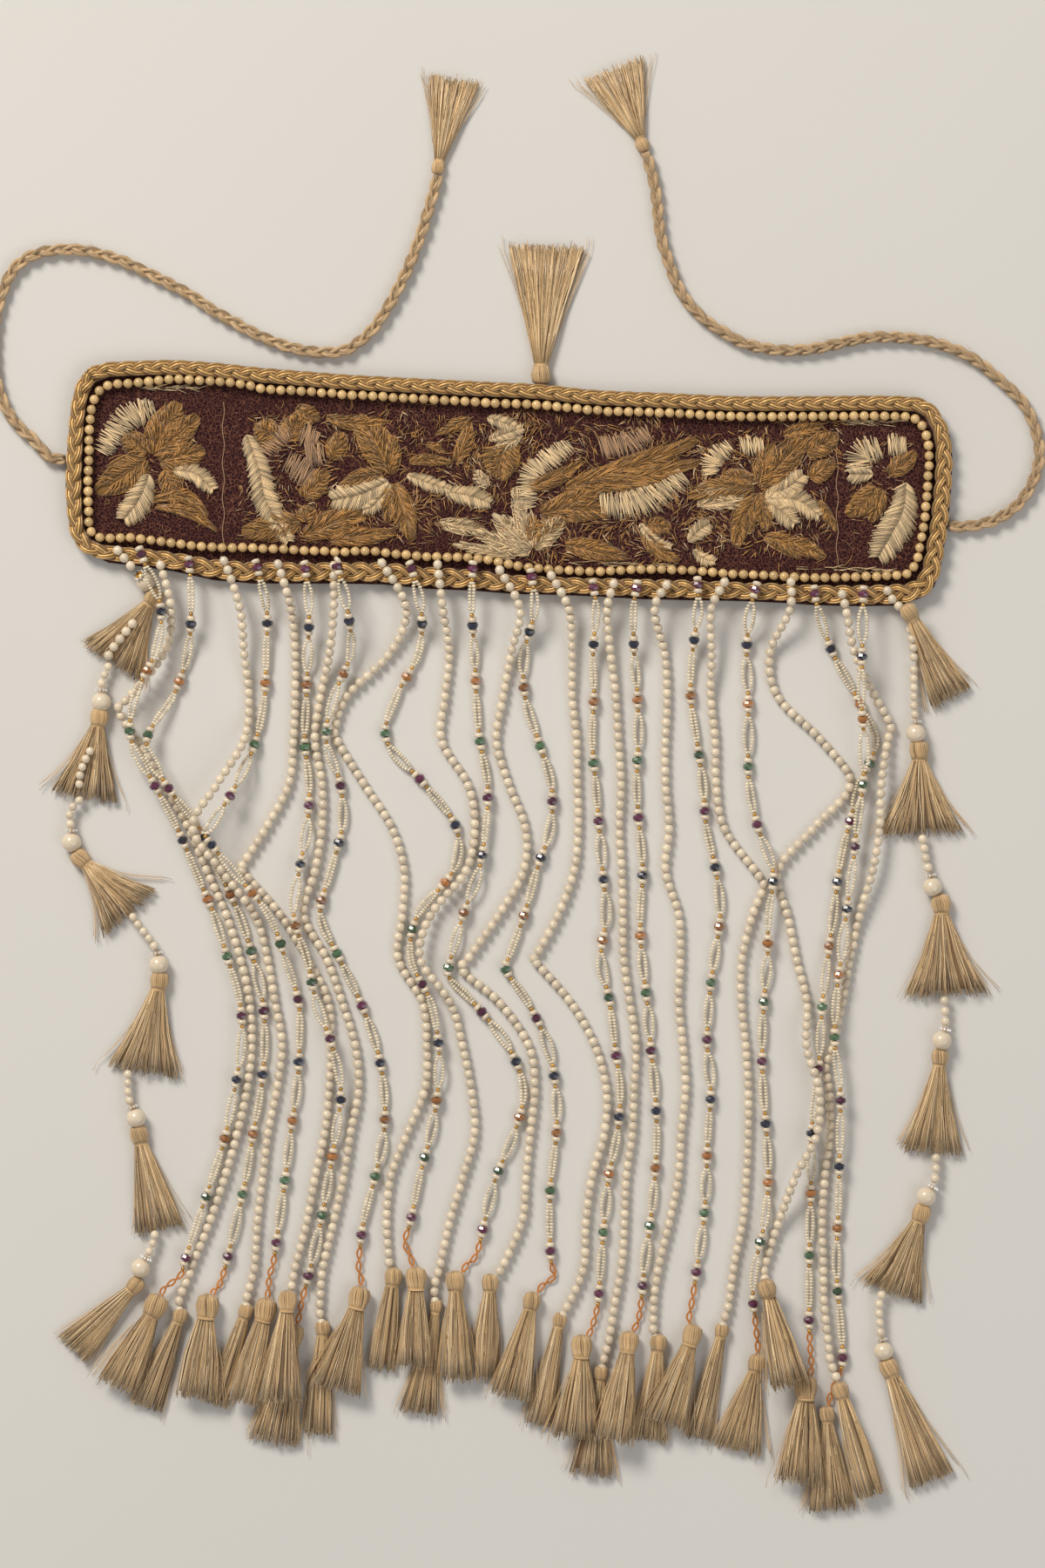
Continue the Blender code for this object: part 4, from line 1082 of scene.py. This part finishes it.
def hang_skirt(piece, form, threads, local):
    """Threads over a dark core of painted shade, drawn together in locks."""
    form.core(piece, np.linspace(form.neck, form.end - 1.6, 7), 0.88, 0.62, 0.45, 16)
    lock_at = local.uniform(-1, 1, max(5, threads // LOCK_THREADS))
    for k in range(threads):
        face = -0.94 if k % 3 == 0 else 0.94
        u = local.uniform(-1, 1)
        u = u + LOCK_PULL * (lock_at[np.argmin(np.abs(lock_at - u))] - u)
        drift = local.normal(0, 0.05)
        wave = local.normal(0, 0.03)
        phase = local.uniform(0, 6.28)
        lift = local.uniform(0.78, 1.0)
        reach = form.end + local.normal(0.0, 1.0)
        line = []
        for d in np.linspace(form.neck + 0.1, reach, 5):
            t = (d - form.neck) / (form.end - form.neck)
            a, b = form.size(d)
            v = np.clip(u + drift * t + wave * math.sin(5 * t + phase), -1.0, 1.0)
            line.append(form.point(d, a * v * 0.97, math.sqrt(max(1 - v * v, 0.0)) * lift * b * face))
        shade = local.uniform(0, 1)
        # One thread in five takes a painted glint, about one in eight painted shade, the rest plain silk.
        used = "silk_painted_glint" if shade > 0.80 else "silk_shade" if shade < 0.12 else "silk"
        tube(piece, line, THREAD_RADIUS, used, local.uniform(0, 1), 3, THREAD_RADIUS * 0.7)


def stray_threads(piece, form, local):
    """A few thin threads that stand away from the skirt."""
    for _ in range(STRAYS):
        u = local.choice([-1, 1]) * local.uniform(0.8, 1.05)
        swing = local.uniform(0.05, 0.55) * np.sign(u)
        begin = local.uniform(0.15, 0.4)
        line = []
        for t in np.linspace(begin, local.uniform(0.9, 1.12), 8):
            d = form.neck + (form.end - form.neck) * t
            point = form.point(d, form.size(d)[0] * (u + swing * (t - begin)))
            point[2] = max(point[2] * 0.7, 0.4)
            line.append(point)
        tube(piece, line, STRAY_THREAD, "silk", local.uniform(0.6, 1.0), 3)


def tassel(piece, spec, heights, threads, seed):
    """A wrapped head, a bound neck and a skirt of loose threads over a darker core of painted shade."""
    local = np.random.default_rng(seed)
    form = TasselForm(spec, heights)
    wrap_head(piece, form, 0.065 * spec[1] * PX, local)
    bind_neck(piece, form, local)
    hang_skirt(piece, form, threads, local)
    stray_threads(piece, form, local)


# Beads on their strings.


def string_of_pearls(piece, route, start, stop, local):
    """Pearls side by side along the route."""
    count = max(1, int(round((stop - start) / PEARL_PITCH)))
    pitch = (stop - start) / count
    for i in range(count):
        s = start + (i + 0.5) * pitch
        long = min(pitch, PEARL_LONG) * local.uniform(0.965, 1.01)
        wide = long * local.uniform(0.98, 1.03)
        bead(piece, PEARL, route.point(s), route.way(s), long, wide, "pearl", local.uniform(0, 1))


def cluster(piece, route, s, colour, local, top_gold=True):
    """Gold, cream, coloured glass, cream, gold; returns where it ends."""
    parts = [("cream", CREAM_LONG), (colour, GLASS_LONG), ("cream", CREAM_LONG), ("gold", GOLD_LONG)]
    if top_gold:
        parts.insert(0, ("gold", GOLD_LONG))
    for kind, long in parts:
        middle = route.point(s + long / 2)
        tilt = route.way(s + long / 2) + local.normal(0, 0.05, 3) * (1, 1, 0.3)
        if kind == "cream":
            wide = CREAM_WIDE * local.uniform(0.95, 1.03)
            bead(piece, DISC, middle, tilt, long * 1.02, wide, "pearl", local.uniform(0, 1))
        elif kind == "gold":
            bead(piece, DISC, middle, tilt, long * 1.05, GOLD_WIDE, "gold", local.uniform(0, 1))
        else:
            wide = GLASS_WIDE * local.uniform(0.93, 1.03)
            bead(piece, FACETED, middle, tilt, long * 1.08, wide, kind, local.uniform(0, 1), True)
        s += long
    return s


def seed_runs(piece, route, start, stop, local):
    """Two runs of seeds side by side, sometimes bowed apart."""
    count = max(3, int(round((stop - start) / SEED_LONG)))
    pitch = (stop - start) / count
    bow = min(max(0.0, local.normal(0.42, 0.42)), 0.95)
    for sign in (-1, 1):
        for i in range(count):
            s = start + (i + 0.5) * pitch
            t = (i + 0.5) / count
            way = route.way(s)
            out = min(0.84, 0.30 + 3.2 * min(t, 1 - t)) + bow * math.sin(math.pi * t)
            middle = route.point(s) + unit(side_of(way)) * sign * out
            wide = SEED_WIDE * local.uniform(0.93, 1.05)
            bead(piece, SEED, middle, way, pitch, wide, "seed", local.uniform(0, 1))


def chain(piece, route, start, stop, local):
    """Crocheted loops of orange thread, a white knot and a gold bead."""
    long = stop - start
    loops = max(1, int(round(long / CHAIN_LOOP)))
    for sign in (-1, 1):
        for inward in (0.0, 0.35):
            line = []
            for t in np.linspace(0, 1, 12 * loops + 1):
                s = start + long * t
                turn = math.pi * loops * t
                out = sign * (0.95 * abs(math.sin(turn)) + 0.12 - inward)
                line.append(route.point(s) + side_of(route.way(s)) * out + UP * 0.25 * sign * math.cos(turn))
            tube(piece, line, CHAIN_THREAD, "orange", local.uniform(0.2, 0.9), 5)
    knot = route.point(stop - 0.8)
    for k in range(5):
        swirl = []
        for q in np.linspace(0, 4.0, 10):
            out = (math.cos(q * 1.7 + k), 0.9 * math.sin(q + 2 * k), 0.7 * math.sin(q * 1.3 + k))
            swirl.append(knot + np.array(out))
        tube(piece, swirl, KNOT_THREAD, "white", local.uniform(0.2, 0.9), 4)
    bead(piece, DISC, route.point(stop), route.way(stop), 1.7, 2.3, "gold", 0.5)


made_pieces = []


def finish_piece(piece, name, nodes):
    """Builds the piece, rides it on the root and lets it stand for its solids."""
    made = piece.build(name)
    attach(made, "root")
    if nodes:
        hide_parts(*nodes)
    made_pieces.append(made)
    return made


def reaching(line, stations, heights, spec, tassel_heights):
    """The route carried on into the head of the tassel it ends in."""
    top, way = tassel_parts(spec)[:2]
    inside = top + way * 1.2
    gap = inside - line[-1]
    count = max(2, int(np.linalg.norm(gap) / 1.5) + 1)
    more = line[-1] + gap * np.linspace(0, 1, count)[1:, None]
    marks = np.vstack([stations[:, :2], inside])
    return Route(np.vstack([line, more]), marks, np.append(heights, tassel_heights[0] + 0.4))


def mixed_beads(piece, route, key, local):
    """Clusters with runs of seeds between them, then the thread chain."""
    chain_y = (MIDDLE_Y - STRANDS[key][3]) * PX
    stop = route.at[np.argmax(route.line[:, 1] < chain_y)]
    whole_cluster = 2 * GOLD_LONG + 2 * CREAM_LONG + GLASS_LONG
    first = whole_cluster - GOLD_LONG
    period = (stop - first) / CYCLES
    s = cluster(piece, route, 0.0, "purple", local, top_gold=False)
    for n in range(1, CYCLES + 1):
        target = first + n * period - whole_cluster
        run = (period - whole_cluster) * (1 + 0.06 * math.sin(2.1 * n + len(key)))
        run_end = target if n == CYCLES else min(s + run, target + 0.8)
        seed_runs(piece, route, s, run_end, local)
        s = cluster(piece, route, run_end, COLOURS[n % 4], local)
    if route.length - s > 1.5:
        chain(piece, route, s - 0.3, route.length, local)
    else:
        chain(piece, route, s - 0.5, s + 1.2, local)


def add_strand(key):
    """One strand under the band, with its tassel."""
    local = np.random.default_rng(sum(ord(c) * (i + 3) for i, c in enumerate(key)))
    stations, heights, hanging_heights = placed[key]
    route = reaching(route_line(key), stations, heights, TASSELS[key], hanging_heights)
    piece = Piece()
    plain = key.startswith("pearl")
    if plain:
        string_of_pearls(piece, route, 0.2, route.length - 0.9, local)
        tube(piece, route.line[::4], 0.25, "white", 0.5, 4)
    else:
        mixed_beads(piece, route, key, local)
    threads = PEARL_TASSEL_THREADS if plain else MIXED_TASSEL_THREADS
    tassel(piece, TASSELS[key], hanging_heights, threads, 100 + len(made_pieces))
    finish_piece(piece, f"beads_{key}", [f"strand_{key}"])


def jewel(piece, middle, last, local):
    """The big pearl and, towards the last pearl before it, a gold disc set with stones."""
    toward = unit(middle - last)
    centre = middle - toward * (BIG_RADIUS + 0.9)
    bead(piece, DISC, centre, toward, DISC_LONG, DISC_WIDE, "gold", 0.6)
    flank = unit(np.cross(toward, UP))
    up = np.cross(flank, toward)
    for q in np.arange(STONES) * 2 * math.pi / STONES:
        stone = centre + STONE_CIRCLE * (math.cos(q) * flank + math.sin(q) * up)
        bead(piece, TINY, stone, toward, STONE_SIZE, STONE_SIZE, "stone", local.uniform(0, 1), True)
    bead(piece, BIG_PEARL, middle, toward, 2 * BIG_RADIUS, 2.06 * BIG_RADIUS, "pearl", 0.55)


def add_side_length(side_name, i, big, spec):
    """One length of a side string: pearls, the big pearl if it has one, and the tassel."""
    local = np.random.default_rng(500 + i + (20 if side_name == "right" else 0))
    line, string, heights, hanging_heights = drops[(side_name, i)]
    piece = Piece()
    if big is None:
        route = reaching(line, string, heights, spec, hanging_heights)
        stop = route.length
    else:
        route = Route(line, string, heights)
        middle = np.array([*flat(big), BIG_RADIUS])
        gap = np.linalg.norm((middle - route.point(route.length))[:2])
        stop = route.length - max(0.0, BIG_RADIUS + 2.0 - gap)
        jewel(piece, middle, route.point(stop), local)
    string_of_pearls(piece, route, 0.0, max(stop, 2.0), local)
    if (side_name, i) in OVER_SKIRT:
        over_line = smooth([flat(p) for p in OVER_SKIRT[(side_name, i)]])
        rise = np.interp(np.linspace(0, 1, len(over_line)), [0, 0.5, 1], OVER_HEIGHTS)
        over = Route(over_line, over_line, rise)
        string_of_pearls(piece, over, 0.0, over.length, local)
    tassel(piece, spec, hanging_heights, SIDE_TASSEL_THREADS, 700 + len(made_pieces))
    finish_piece(piece, f"side_{side_name}_{i + 1}", [f"drop_{side_name}_{i + 1}"])


for key in STRANDS:
    add_strand(key)
for side_name, rows in (("left", LEFT_DROPS), ("right", RIGHT_DROPS)):
    for i, (route_points, big, spec) in enumerate(rows):
        add_side_length(side_name, i, big, spec)

# Tassels of the top and of the ties: piece, spec, solid, threads.
for name, spec, node, count in (
    ("top_tassel_silk", TOP_TASSEL, "top_tassel", 420),
    ("left_tie_silk", LEFT_TIE_TASSEL, "tie_tassel_left", 260),
    ("right_tie_silk", RIGHT_TIE_TASSEL, "tie_tassel_right", 300),
):
    piece = Piece()
    tassel(piece, spec, tassel_stations(spec)[:, 3], count, 900 + count)
    finish_piece(piece, name, [node])


# Plaits.


def strand_line(line, lateral, height):
    """A line moved sideways and up by arrays of distances."""
    ways = np.gradient(line, axis=0)
    ways /= np.maximum(np.linalg.norm(ways[:, :2], axis=1), 1e-9)[:, None]
    side = np.column_stack([ways[:, 1], -ways[:, 0], np.zeros(len(line))])
    return line + side * lateral[:, None] + UP * height[:, None]


def plait_tie(piece, line, at, local):
    """Three strands of three cords, each with two fine fibres wound round it, and loose fuzz."""
    for k in range(3):
        phase = 2 * math.pi * (at / TIE_TURN + k / 3)
        for out in (-TIE_SPACING, 0.0, TIE_SPACING):
            lateral = 1.45 * np.sin(phase) + out * np.cos(phase) * 0.55 + out * 0.5
            height = 0.85 * np.sin(2 * phase) + out * 0.35 * np.sin(phase)
            tube(piece, strand_line(line, lateral, height), TIE_CORD, "tie", local.uniform(0.1, 0.8), 5)
            for _ in range(2):
                spin = local.uniform(0, 2 * math.pi) + at / 2.4
                wound = strand_line(line, lateral + 0.72 * np.cos(spin), height + 0.72 * np.sin(spin))
                tube(piece, wound, TIE_FIBRE, "tie", local.uniform(0.1, 1.0), 3)
    for _ in range(FUZZ_THREADS):
        start = int(local.integers(5, len(line) - 16))
        count = int(local.integers(4, 11))
        drift = np.linspace(0, local.uniform(1.5, 4.0) * local.choice([-1, 1]), count)
        lift = np.linspace(0.5, local.uniform(1.0, 2.4) - 1.0, count)
        tube(piece, strand_line(line[start : start + count], drift, lift), TIE_FUZZ, "tie", 0.8, 3)


for side_name, points, seed in (("left", LEFT_TIE, 31), ("right", RIGHT_TIE, 32)):
    base = smooth([flat(p) for p in points])
    at = distances(base)
    piece = Piece()
    plait_tie(piece, np.column_stack([base, np.full(len(base), TIE_Z)]), at, np.random.default_rng(seed))
    made = finish_piece(piece, f"{side_name}_tie_plait", [f"tie_{side_name}"])

# Plaited border: once round the band, from the table's first place back to it.
around = smooth(braid_line[-2:] + braid_line + braid_line[:3])
start_distance = np.linalg.norm(around - braid_line[0], axis=1)
half_way = len(around) // 2
first = int(np.argmin(start_distance[: len(around) // 3]))
last = half_way + int(np.argmin(start_distance[half_way:]))
around = around[first : last + 1]
nearest = [int(np.argmin([np.linalg.norm(p - q) for q in braid_line])) for p in around]
half_width = np.array(braid_widths)[nearest]
half_width = np.concatenate([half_width[-10:], half_width, half_width[:10]])
half_width = np.convolve(half_width, np.ones(21) / 21, "valid")
at = distances(around)
turns = round(at[-1] / BORDER_TURN)
line = np.column_stack([around, np.full(len(around), BRAID_Z)])
piece = Piece()
local = np.random.default_rng(77)
for k in range(3):
    phase = 2 * math.pi * (at * turns / at[-1] + k / 3)
    # Each strand's middle cord is lighter and its outer cords darker, one side more than the other: painted
    # highlight and painted shade.
    for out, tone in ((-BORDER_SPACING, 0.35), (0.0, 0.9), (BORDER_SPACING, 0.15)):
        swing = np.maximum(half_width - 1.3, 1.75) * np.sin(phase)
        lateral = swing + out * (0.92 + 0.3 * np.abs(np.cos(phase)))
        height = 0.95 * np.sin(2 * phase) + 0.2
        tube(piece, strand_line(line, lateral, height), BORDER_CORD, "braid", tone + local.uniform(-0.1, 0.1))
# Dark cords beneath the plait: painted shade seen between its cords.
under = np.vstack([line[::4], line[:1]])
for sign in (-1, 0, 1):
    shifted = strand_line(under, np.full(len(under), sign * 1.9), np.full(len(under), -0.9))
    tube(piece, shifted, 1.1, "braid_painted_shade", 0.5)
finish_piece(piece, "plaited_border", ["border_braid"])

# Golden pearls inside the plait.
closed = smooth([*border_line, border_line[0]], 0.9)
border = Route(closed, closed, np.full(len(closed), BORDER_Z))
count = int(round(border.length / BORDER_PITCH))
piece = Piece()
local = np.random.default_rng(78)
for i in range(count):
    s = (i + 0.5) * border.length / count
    size = BORDER_PEARL * local.uniform(0.96, 1.01)
    middle = border.point(s) + np.array([local.normal(0, 0.08), local.normal(0, 0.08), 0])
    bead(piece, PEARL, middle, border.way(s), size, size, "golden", local.uniform(0, 1))
tube(piece, border.line[::3] - (0, 0, 1.4), 0.5, "ochre", 0.4, 4)
finish_piece(piece, "border_pearl_row", ["border_pearls"])

# Band ground: the panel takes the velvet.
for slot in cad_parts["band_panel"].material_slots:
    slot.link = "OBJECT"
    slot.material = M["velvet"]

# Embroidery, all in one piece: its draws follow one another in the order below.
embroidery = Piece()
draws = np.random.default_rng(5)


def stitch(line, radius, name):
    """One thread on the band, with a tone of its own."""
    tube(embroidery, line, radius, name, draws.uniform(0, 1), 3)


def petal(base, tip, width, name, threads, bend=0.0, dome=1.0):
    """Rough satin: short stitches that lean out from the middle, over longer ones beneath."""
    start = flat(base)
    long = np.linalg.norm(flat(tip) - start)
    way = (flat(tip) - start) / long
    side = side_of(way)[:2]
    half_width = width * PX / 2

    def place(t, u):
        """The point t of the way to the tip and u of the way to the edge, and how high it rises."""
        full = math.sin(math.pi * min(max(t * 0.84 + 0.12, 0), 1)) ** 0.65
        across = u * half_width * full + bend * PX * math.sin(math.pi * t)
        point = start + way * long * t + side * across
        return point, dome * full * math.sqrt(max(1 - u * u * 0.9, 0.05))

    # A low body under the stitches, in a darker tone of the same thread: painted shade between the stitches.
    places = [place(t, 0.0) for t in np.linspace(0.0, 1.0, 7)]
    middles = [np.array([*point, PANEL_TOP]) for point, rise in places]
    share = np.array([max(rise, 0.1) for point, rise in places])
    elliptical(embroidery, middles, side_of(way), 0.9 * half_width * share, 0.75 * share, name, 0.12, 8)
    for _ in range(threads):
        u = draws.uniform(-1, 1)
        first = draws.uniform(0.0, 0.35)
        last = min(first + draws.uniform(0.35, 0.6), 1.02 - 0.15 * abs(u))
        line = []
        for t in np.linspace(first, max(last, first + 0.15), 4):
            point, rise = place(t, u)
            line.append((*point, PANEL_TOP + 0.1 + rise * 0.85 + draws.normal(0, 0.04)))
        stitch(line, PETAL_UNDER, name)
    for _ in range(int(threads * 1.5)):
        sign = draws.choice([-1, 1])
        first = draws.uniform(-0.02, 0.86)
        inner = draws.uniform(0.0, 0.55)
        outer = min(inner + draws.uniform(0.25, 0.7), 1.2)
        reach = draws.uniform(0.08, 0.22)
        line = []
        for n, t in enumerate(np.linspace(first, min(first + reach, 1.0), 3)):
            point, rise = place(t, sign * (inner + (outer - inner) * n / 2))
            line.append((*point, PANEL_TOP + 0.3 + rise * 1.2 + (0.25 if n == 1 else -0.05)))
        stitch(line, PETAL_OVER, name)


def rib_places(route, step):
    """Places along a smooth line: the share of its length so far, the place, the direction and the side."""
    rib = smooth([flat(p) for p in route], 0.5)
    at = distances(rib)
    for s in np.arange(0, at[-1], step):
        place, ahead = ([np.interp(d, at, rib[:, i]) for i in range(2)] for d in (s, min(s + 1, at[-1])))
        way = np.array(ahead) - place
        if np.linalg.norm(way) > 1e-6:
            way = unit(way)
            yield s / at[-1], np.array(place), way, side_of(way)[:2]


def feather(route, width, name):
    """Short slanting stitches out from a midrib on both sides."""
    for share, place, way, side in rib_places(route, LEAF_STEP):
        full = math.sin(math.pi * (0.12 + 0.8 * share)) ** 0.6
        for sign in (-1, 1):
            long = width * PX / 2 * full * draws.uniform(0.8, 1.12)
            line = []
            for t in np.linspace(0, 1, 4):
                point = place + (side * sign + way * LEAF_SLANT) * long * t
                rise = 0.4 + 0.855 * math.sin(math.pi * (0.12 + 0.86 * t))
                line.append((*point, PANEL_TOP + rise + draws.normal(0, 0.06)))
            stitch(line, LEAF_THREAD, name)


def satin_bar(route, width, name):
    """Ragged parallel stitches across a line, as a low padded bar."""
    for share, place, way, side in rib_places(route, BAR_STEP):
        full = math.sin(math.pi * (0.2 + 0.65 * share)) ** 0.5
        long = width * PX * full * draws.uniform(0.72, 1.15)
        slant = 0.15 + draws.normal(0, 0.12)
        line = []
        for t in np.linspace(-0.5, 0.5, 5):
            point = place + (side + way * slant) * long * t
            rise = 0.15 + 1.05 * math.cos(math.pi * t * 0.93)
            line.append((*point, PANEL_TOP + rise + draws.normal(0, 0.05)))
        stitch(line, BAR_THREAD, name)


def inside_border(point):
    """Whether the point lies inside the row of golden pearls."""
    x, y = point[0], point[1]
    hits = 0
    for a, b in zip(border_line, border_line[1:] + border_line[:1]):
        if (a[1] > y) != (b[1] > y) and x < a[0] + (y - a[1]) * (b[0] - a[0]) / (b[1] - a[1]):
            hits += 1
    return hits % 2 == 1


def scribble(middle, size, count, name):
    """Loose couched threads that wander over the ground."""
    for _ in range(count):
        point = flat(middle) + draws.normal(0, 1, 2) * np.array(size) * PX / 2
        heading = draws.uniform(0, 2 * math.pi)
        curl = draws.normal(0, 0.35)
        line = []
        for n in range(8):
            if inside_border(point):
                line.append((*point, PANEL_TOP + 0.25 + 0.2 * abs(math.sin(n))))
            point = point + 0.85 * np.array([math.cos(heading), math.sin(heading)])
            heading += curl + draws.normal(0, 0.3)
        if len(line) > 3:
            stitch(line, LOOSE_THREAD, name)


def scatter(middle, size, count, long):
    """Short straight stitches over the ground; the direction drifts from place to place."""
    heading = draws.uniform(0, math.pi)
    for _ in range(count):
        x, y = flat(middle) + draws.uniform(-1, 1, 2) * np.array(size) * PX / 2
        angle = heading + 1.4 * math.sin(x * 0.13) + 1.1 * math.cos(y * 0.19) + draws.normal(0, 0.35)
        reach = long * draws.uniform(0.5, 1.2)
        dx, dy = math.cos(angle) * reach, math.sin(angle) * reach
        if not (inside_border((x, y)) and inside_border((x + dx, y + dy))):
            continue
        shade = draws.uniform(0, 1)
        used = "ochre" if shade < 0.66 else "dusky" if shade < 0.9 else "pale"
        line = []
        for t in (0, 0.5, 1):
            line.append((x + dx * t, y + dy * t, PANEL_TOP + 0.2 + 0.55 * math.sin(math.pi * t)))
        stitch(line, SHORT_STITCH, used)


def edge_stitches(left, right):
    """Pale stitches in a row between two places by the border."""
    for _ in range(EDGE_COUNT):
        x = draws.uniform(left[0], right[0] - EDGE_LONG)
        y = np.interp(x, (left[0], right[0]), (left[1], right[1])) + draws.normal(0, 1.4)
        a, b = flat((x, y)), flat((x + EDGE_LONG, y + draws.normal(0, 2.5)))
        line = [(*a, PANEL_TOP + 0.3), (*(a + b) / 2, PANEL_TOP + 0.9), (*b, PANEL_TOP + 0.3)]
        stitch(line, EDGE_THREAD, "pale")


for base, tip, width, threads, bend in OCHRE_PETALS:
    petal(base, tip, width, "ochre", threads, bend)
for base, tip, width, threads, bend in STAR_THREADS:
    petal(base, tip, width, "pale" if threads % 4 else "ochre", threads, bend, 0.7)
for route_points, width in PALE_FEATHERS:
    feather(route_points, width, "pale")
for route_points, width in PALE_BARS:
    satin_bar(route_points, width, "pale")
for route_points, width in DUSKY_BARS:
    satin_bar(route_points, width, "dusky")
for middle, size, count, long in SCATTER:
    scatter(middle, size, count, long)
for middle, size, count in SCRIBBLES:
    scribble(middle, size, count, "ochre")
for left, right in EDGE_ROWS:
    edge_stitches(left, right)
for line_x, line_top, line_foot in COUCHED_LINES:
    line = []
    for n, y in enumerate(np.linspace(line_top, line_foot, 40)):
        place = flat((line_x + 1.2 * math.sin(n * 0.7), y))
        line.append((*place, PANEL_TOP + 0.18 + 0.12 * math.sin(n * 2.1)))
    tube(embroidery, line, COUCHED_THREAD, "dusky", 0.5, 3)
finish_piece(embroidery, "embroidery", [])

# Floor, light and camera, in metres.
FLOOR_SIZE = 6.0
FLOOR_DROP = 0.0002
SUBJECT = (0, -0.12, 0)
CAMERA_HEIGHT = 2.4
SENSOR = 36.0
PHOTO_WIDTH, PHOTO_HEIGHT = 1200, 1800

bpy.ops.mesh.primitive_plane_add(size=FLOOR_SIZE, location=(0, 0, -FLOOR_DROP))
floor = bpy.context.object
floor.name = "floor"
ground, tree, shader = node_material("pale_floor")
cloud = noise(tree, own_place(tree), 3.0)
dark, light = (0.70, 0.68, 0.65, 1.0), (0.74, 0.72, 0.69, 1.0)
ground_color = add(tree, "Mix", {0: cloud, 6: dark, 7: light}, out=2, data_type="RGBA")
feed(tree, shader, {"Base Color": ground_color, "Roughness": 0.85})
floor.data.materials.append(ground)

world = bpy.data.worlds.new("studio")
bpy.context.scene.world = world
world.use_nodes = True
background = world.node_tree.nodes["Background"]
feed(world.node_tree, background, {"Color": (1.0, 0.97, 0.93, 1.0), "Strength": 0.33})


def area_light(name, place, size, power, color):
    """A square light turned to the subject, its size in metres and its power in watts."""
    data = bpy.data.lights.new(name, "AREA")
    data.size = size
    data.energy = power
    data.color = color
    made = bpy.data.objects.new(name, data)
    made.location = place
    x, y, z = np.array(place) - np.array(SUBJECT)
    made.rotation_euler = (math.atan2(math.hypot(x, y), z), 0.0, math.atan2(y, x) + math.pi / 2)
    bpy.context.scene.collection.objects.link(made)


area_light("key", (-1.4, 1.9, 2.2), 1.1, 84.0, (1.0, 0.95, 0.87))
area_light("fill", (1.7, -1.4, 2.4), 2.0, 18.0, (0.95, 0.97, 1.0))

camera_data = bpy.data.cameras.new("camera")
camera_data.sensor_fit = "VERTICAL"
camera_data.sensor_height = SENSOR
camera_data.lens = SENSOR * CAMERA_HEIGHT / (PHOTO_HEIGHT * PX * 0.001)
camera_data.clip_end = 20.0
camera = bpy.data.objects.new("camera", camera_data)
photo_middle = flat((PHOTO_WIDTH / 2, PHOTO_HEIGHT / 2)) * 0.001
camera.location = (*photo_middle, CAMERA_HEIGHT)
bpy.context.scene.collection.objects.link(camera)
bpy.context.scene.camera = camera
bpy.context.scene.view_settings.view_transform = "Standard"
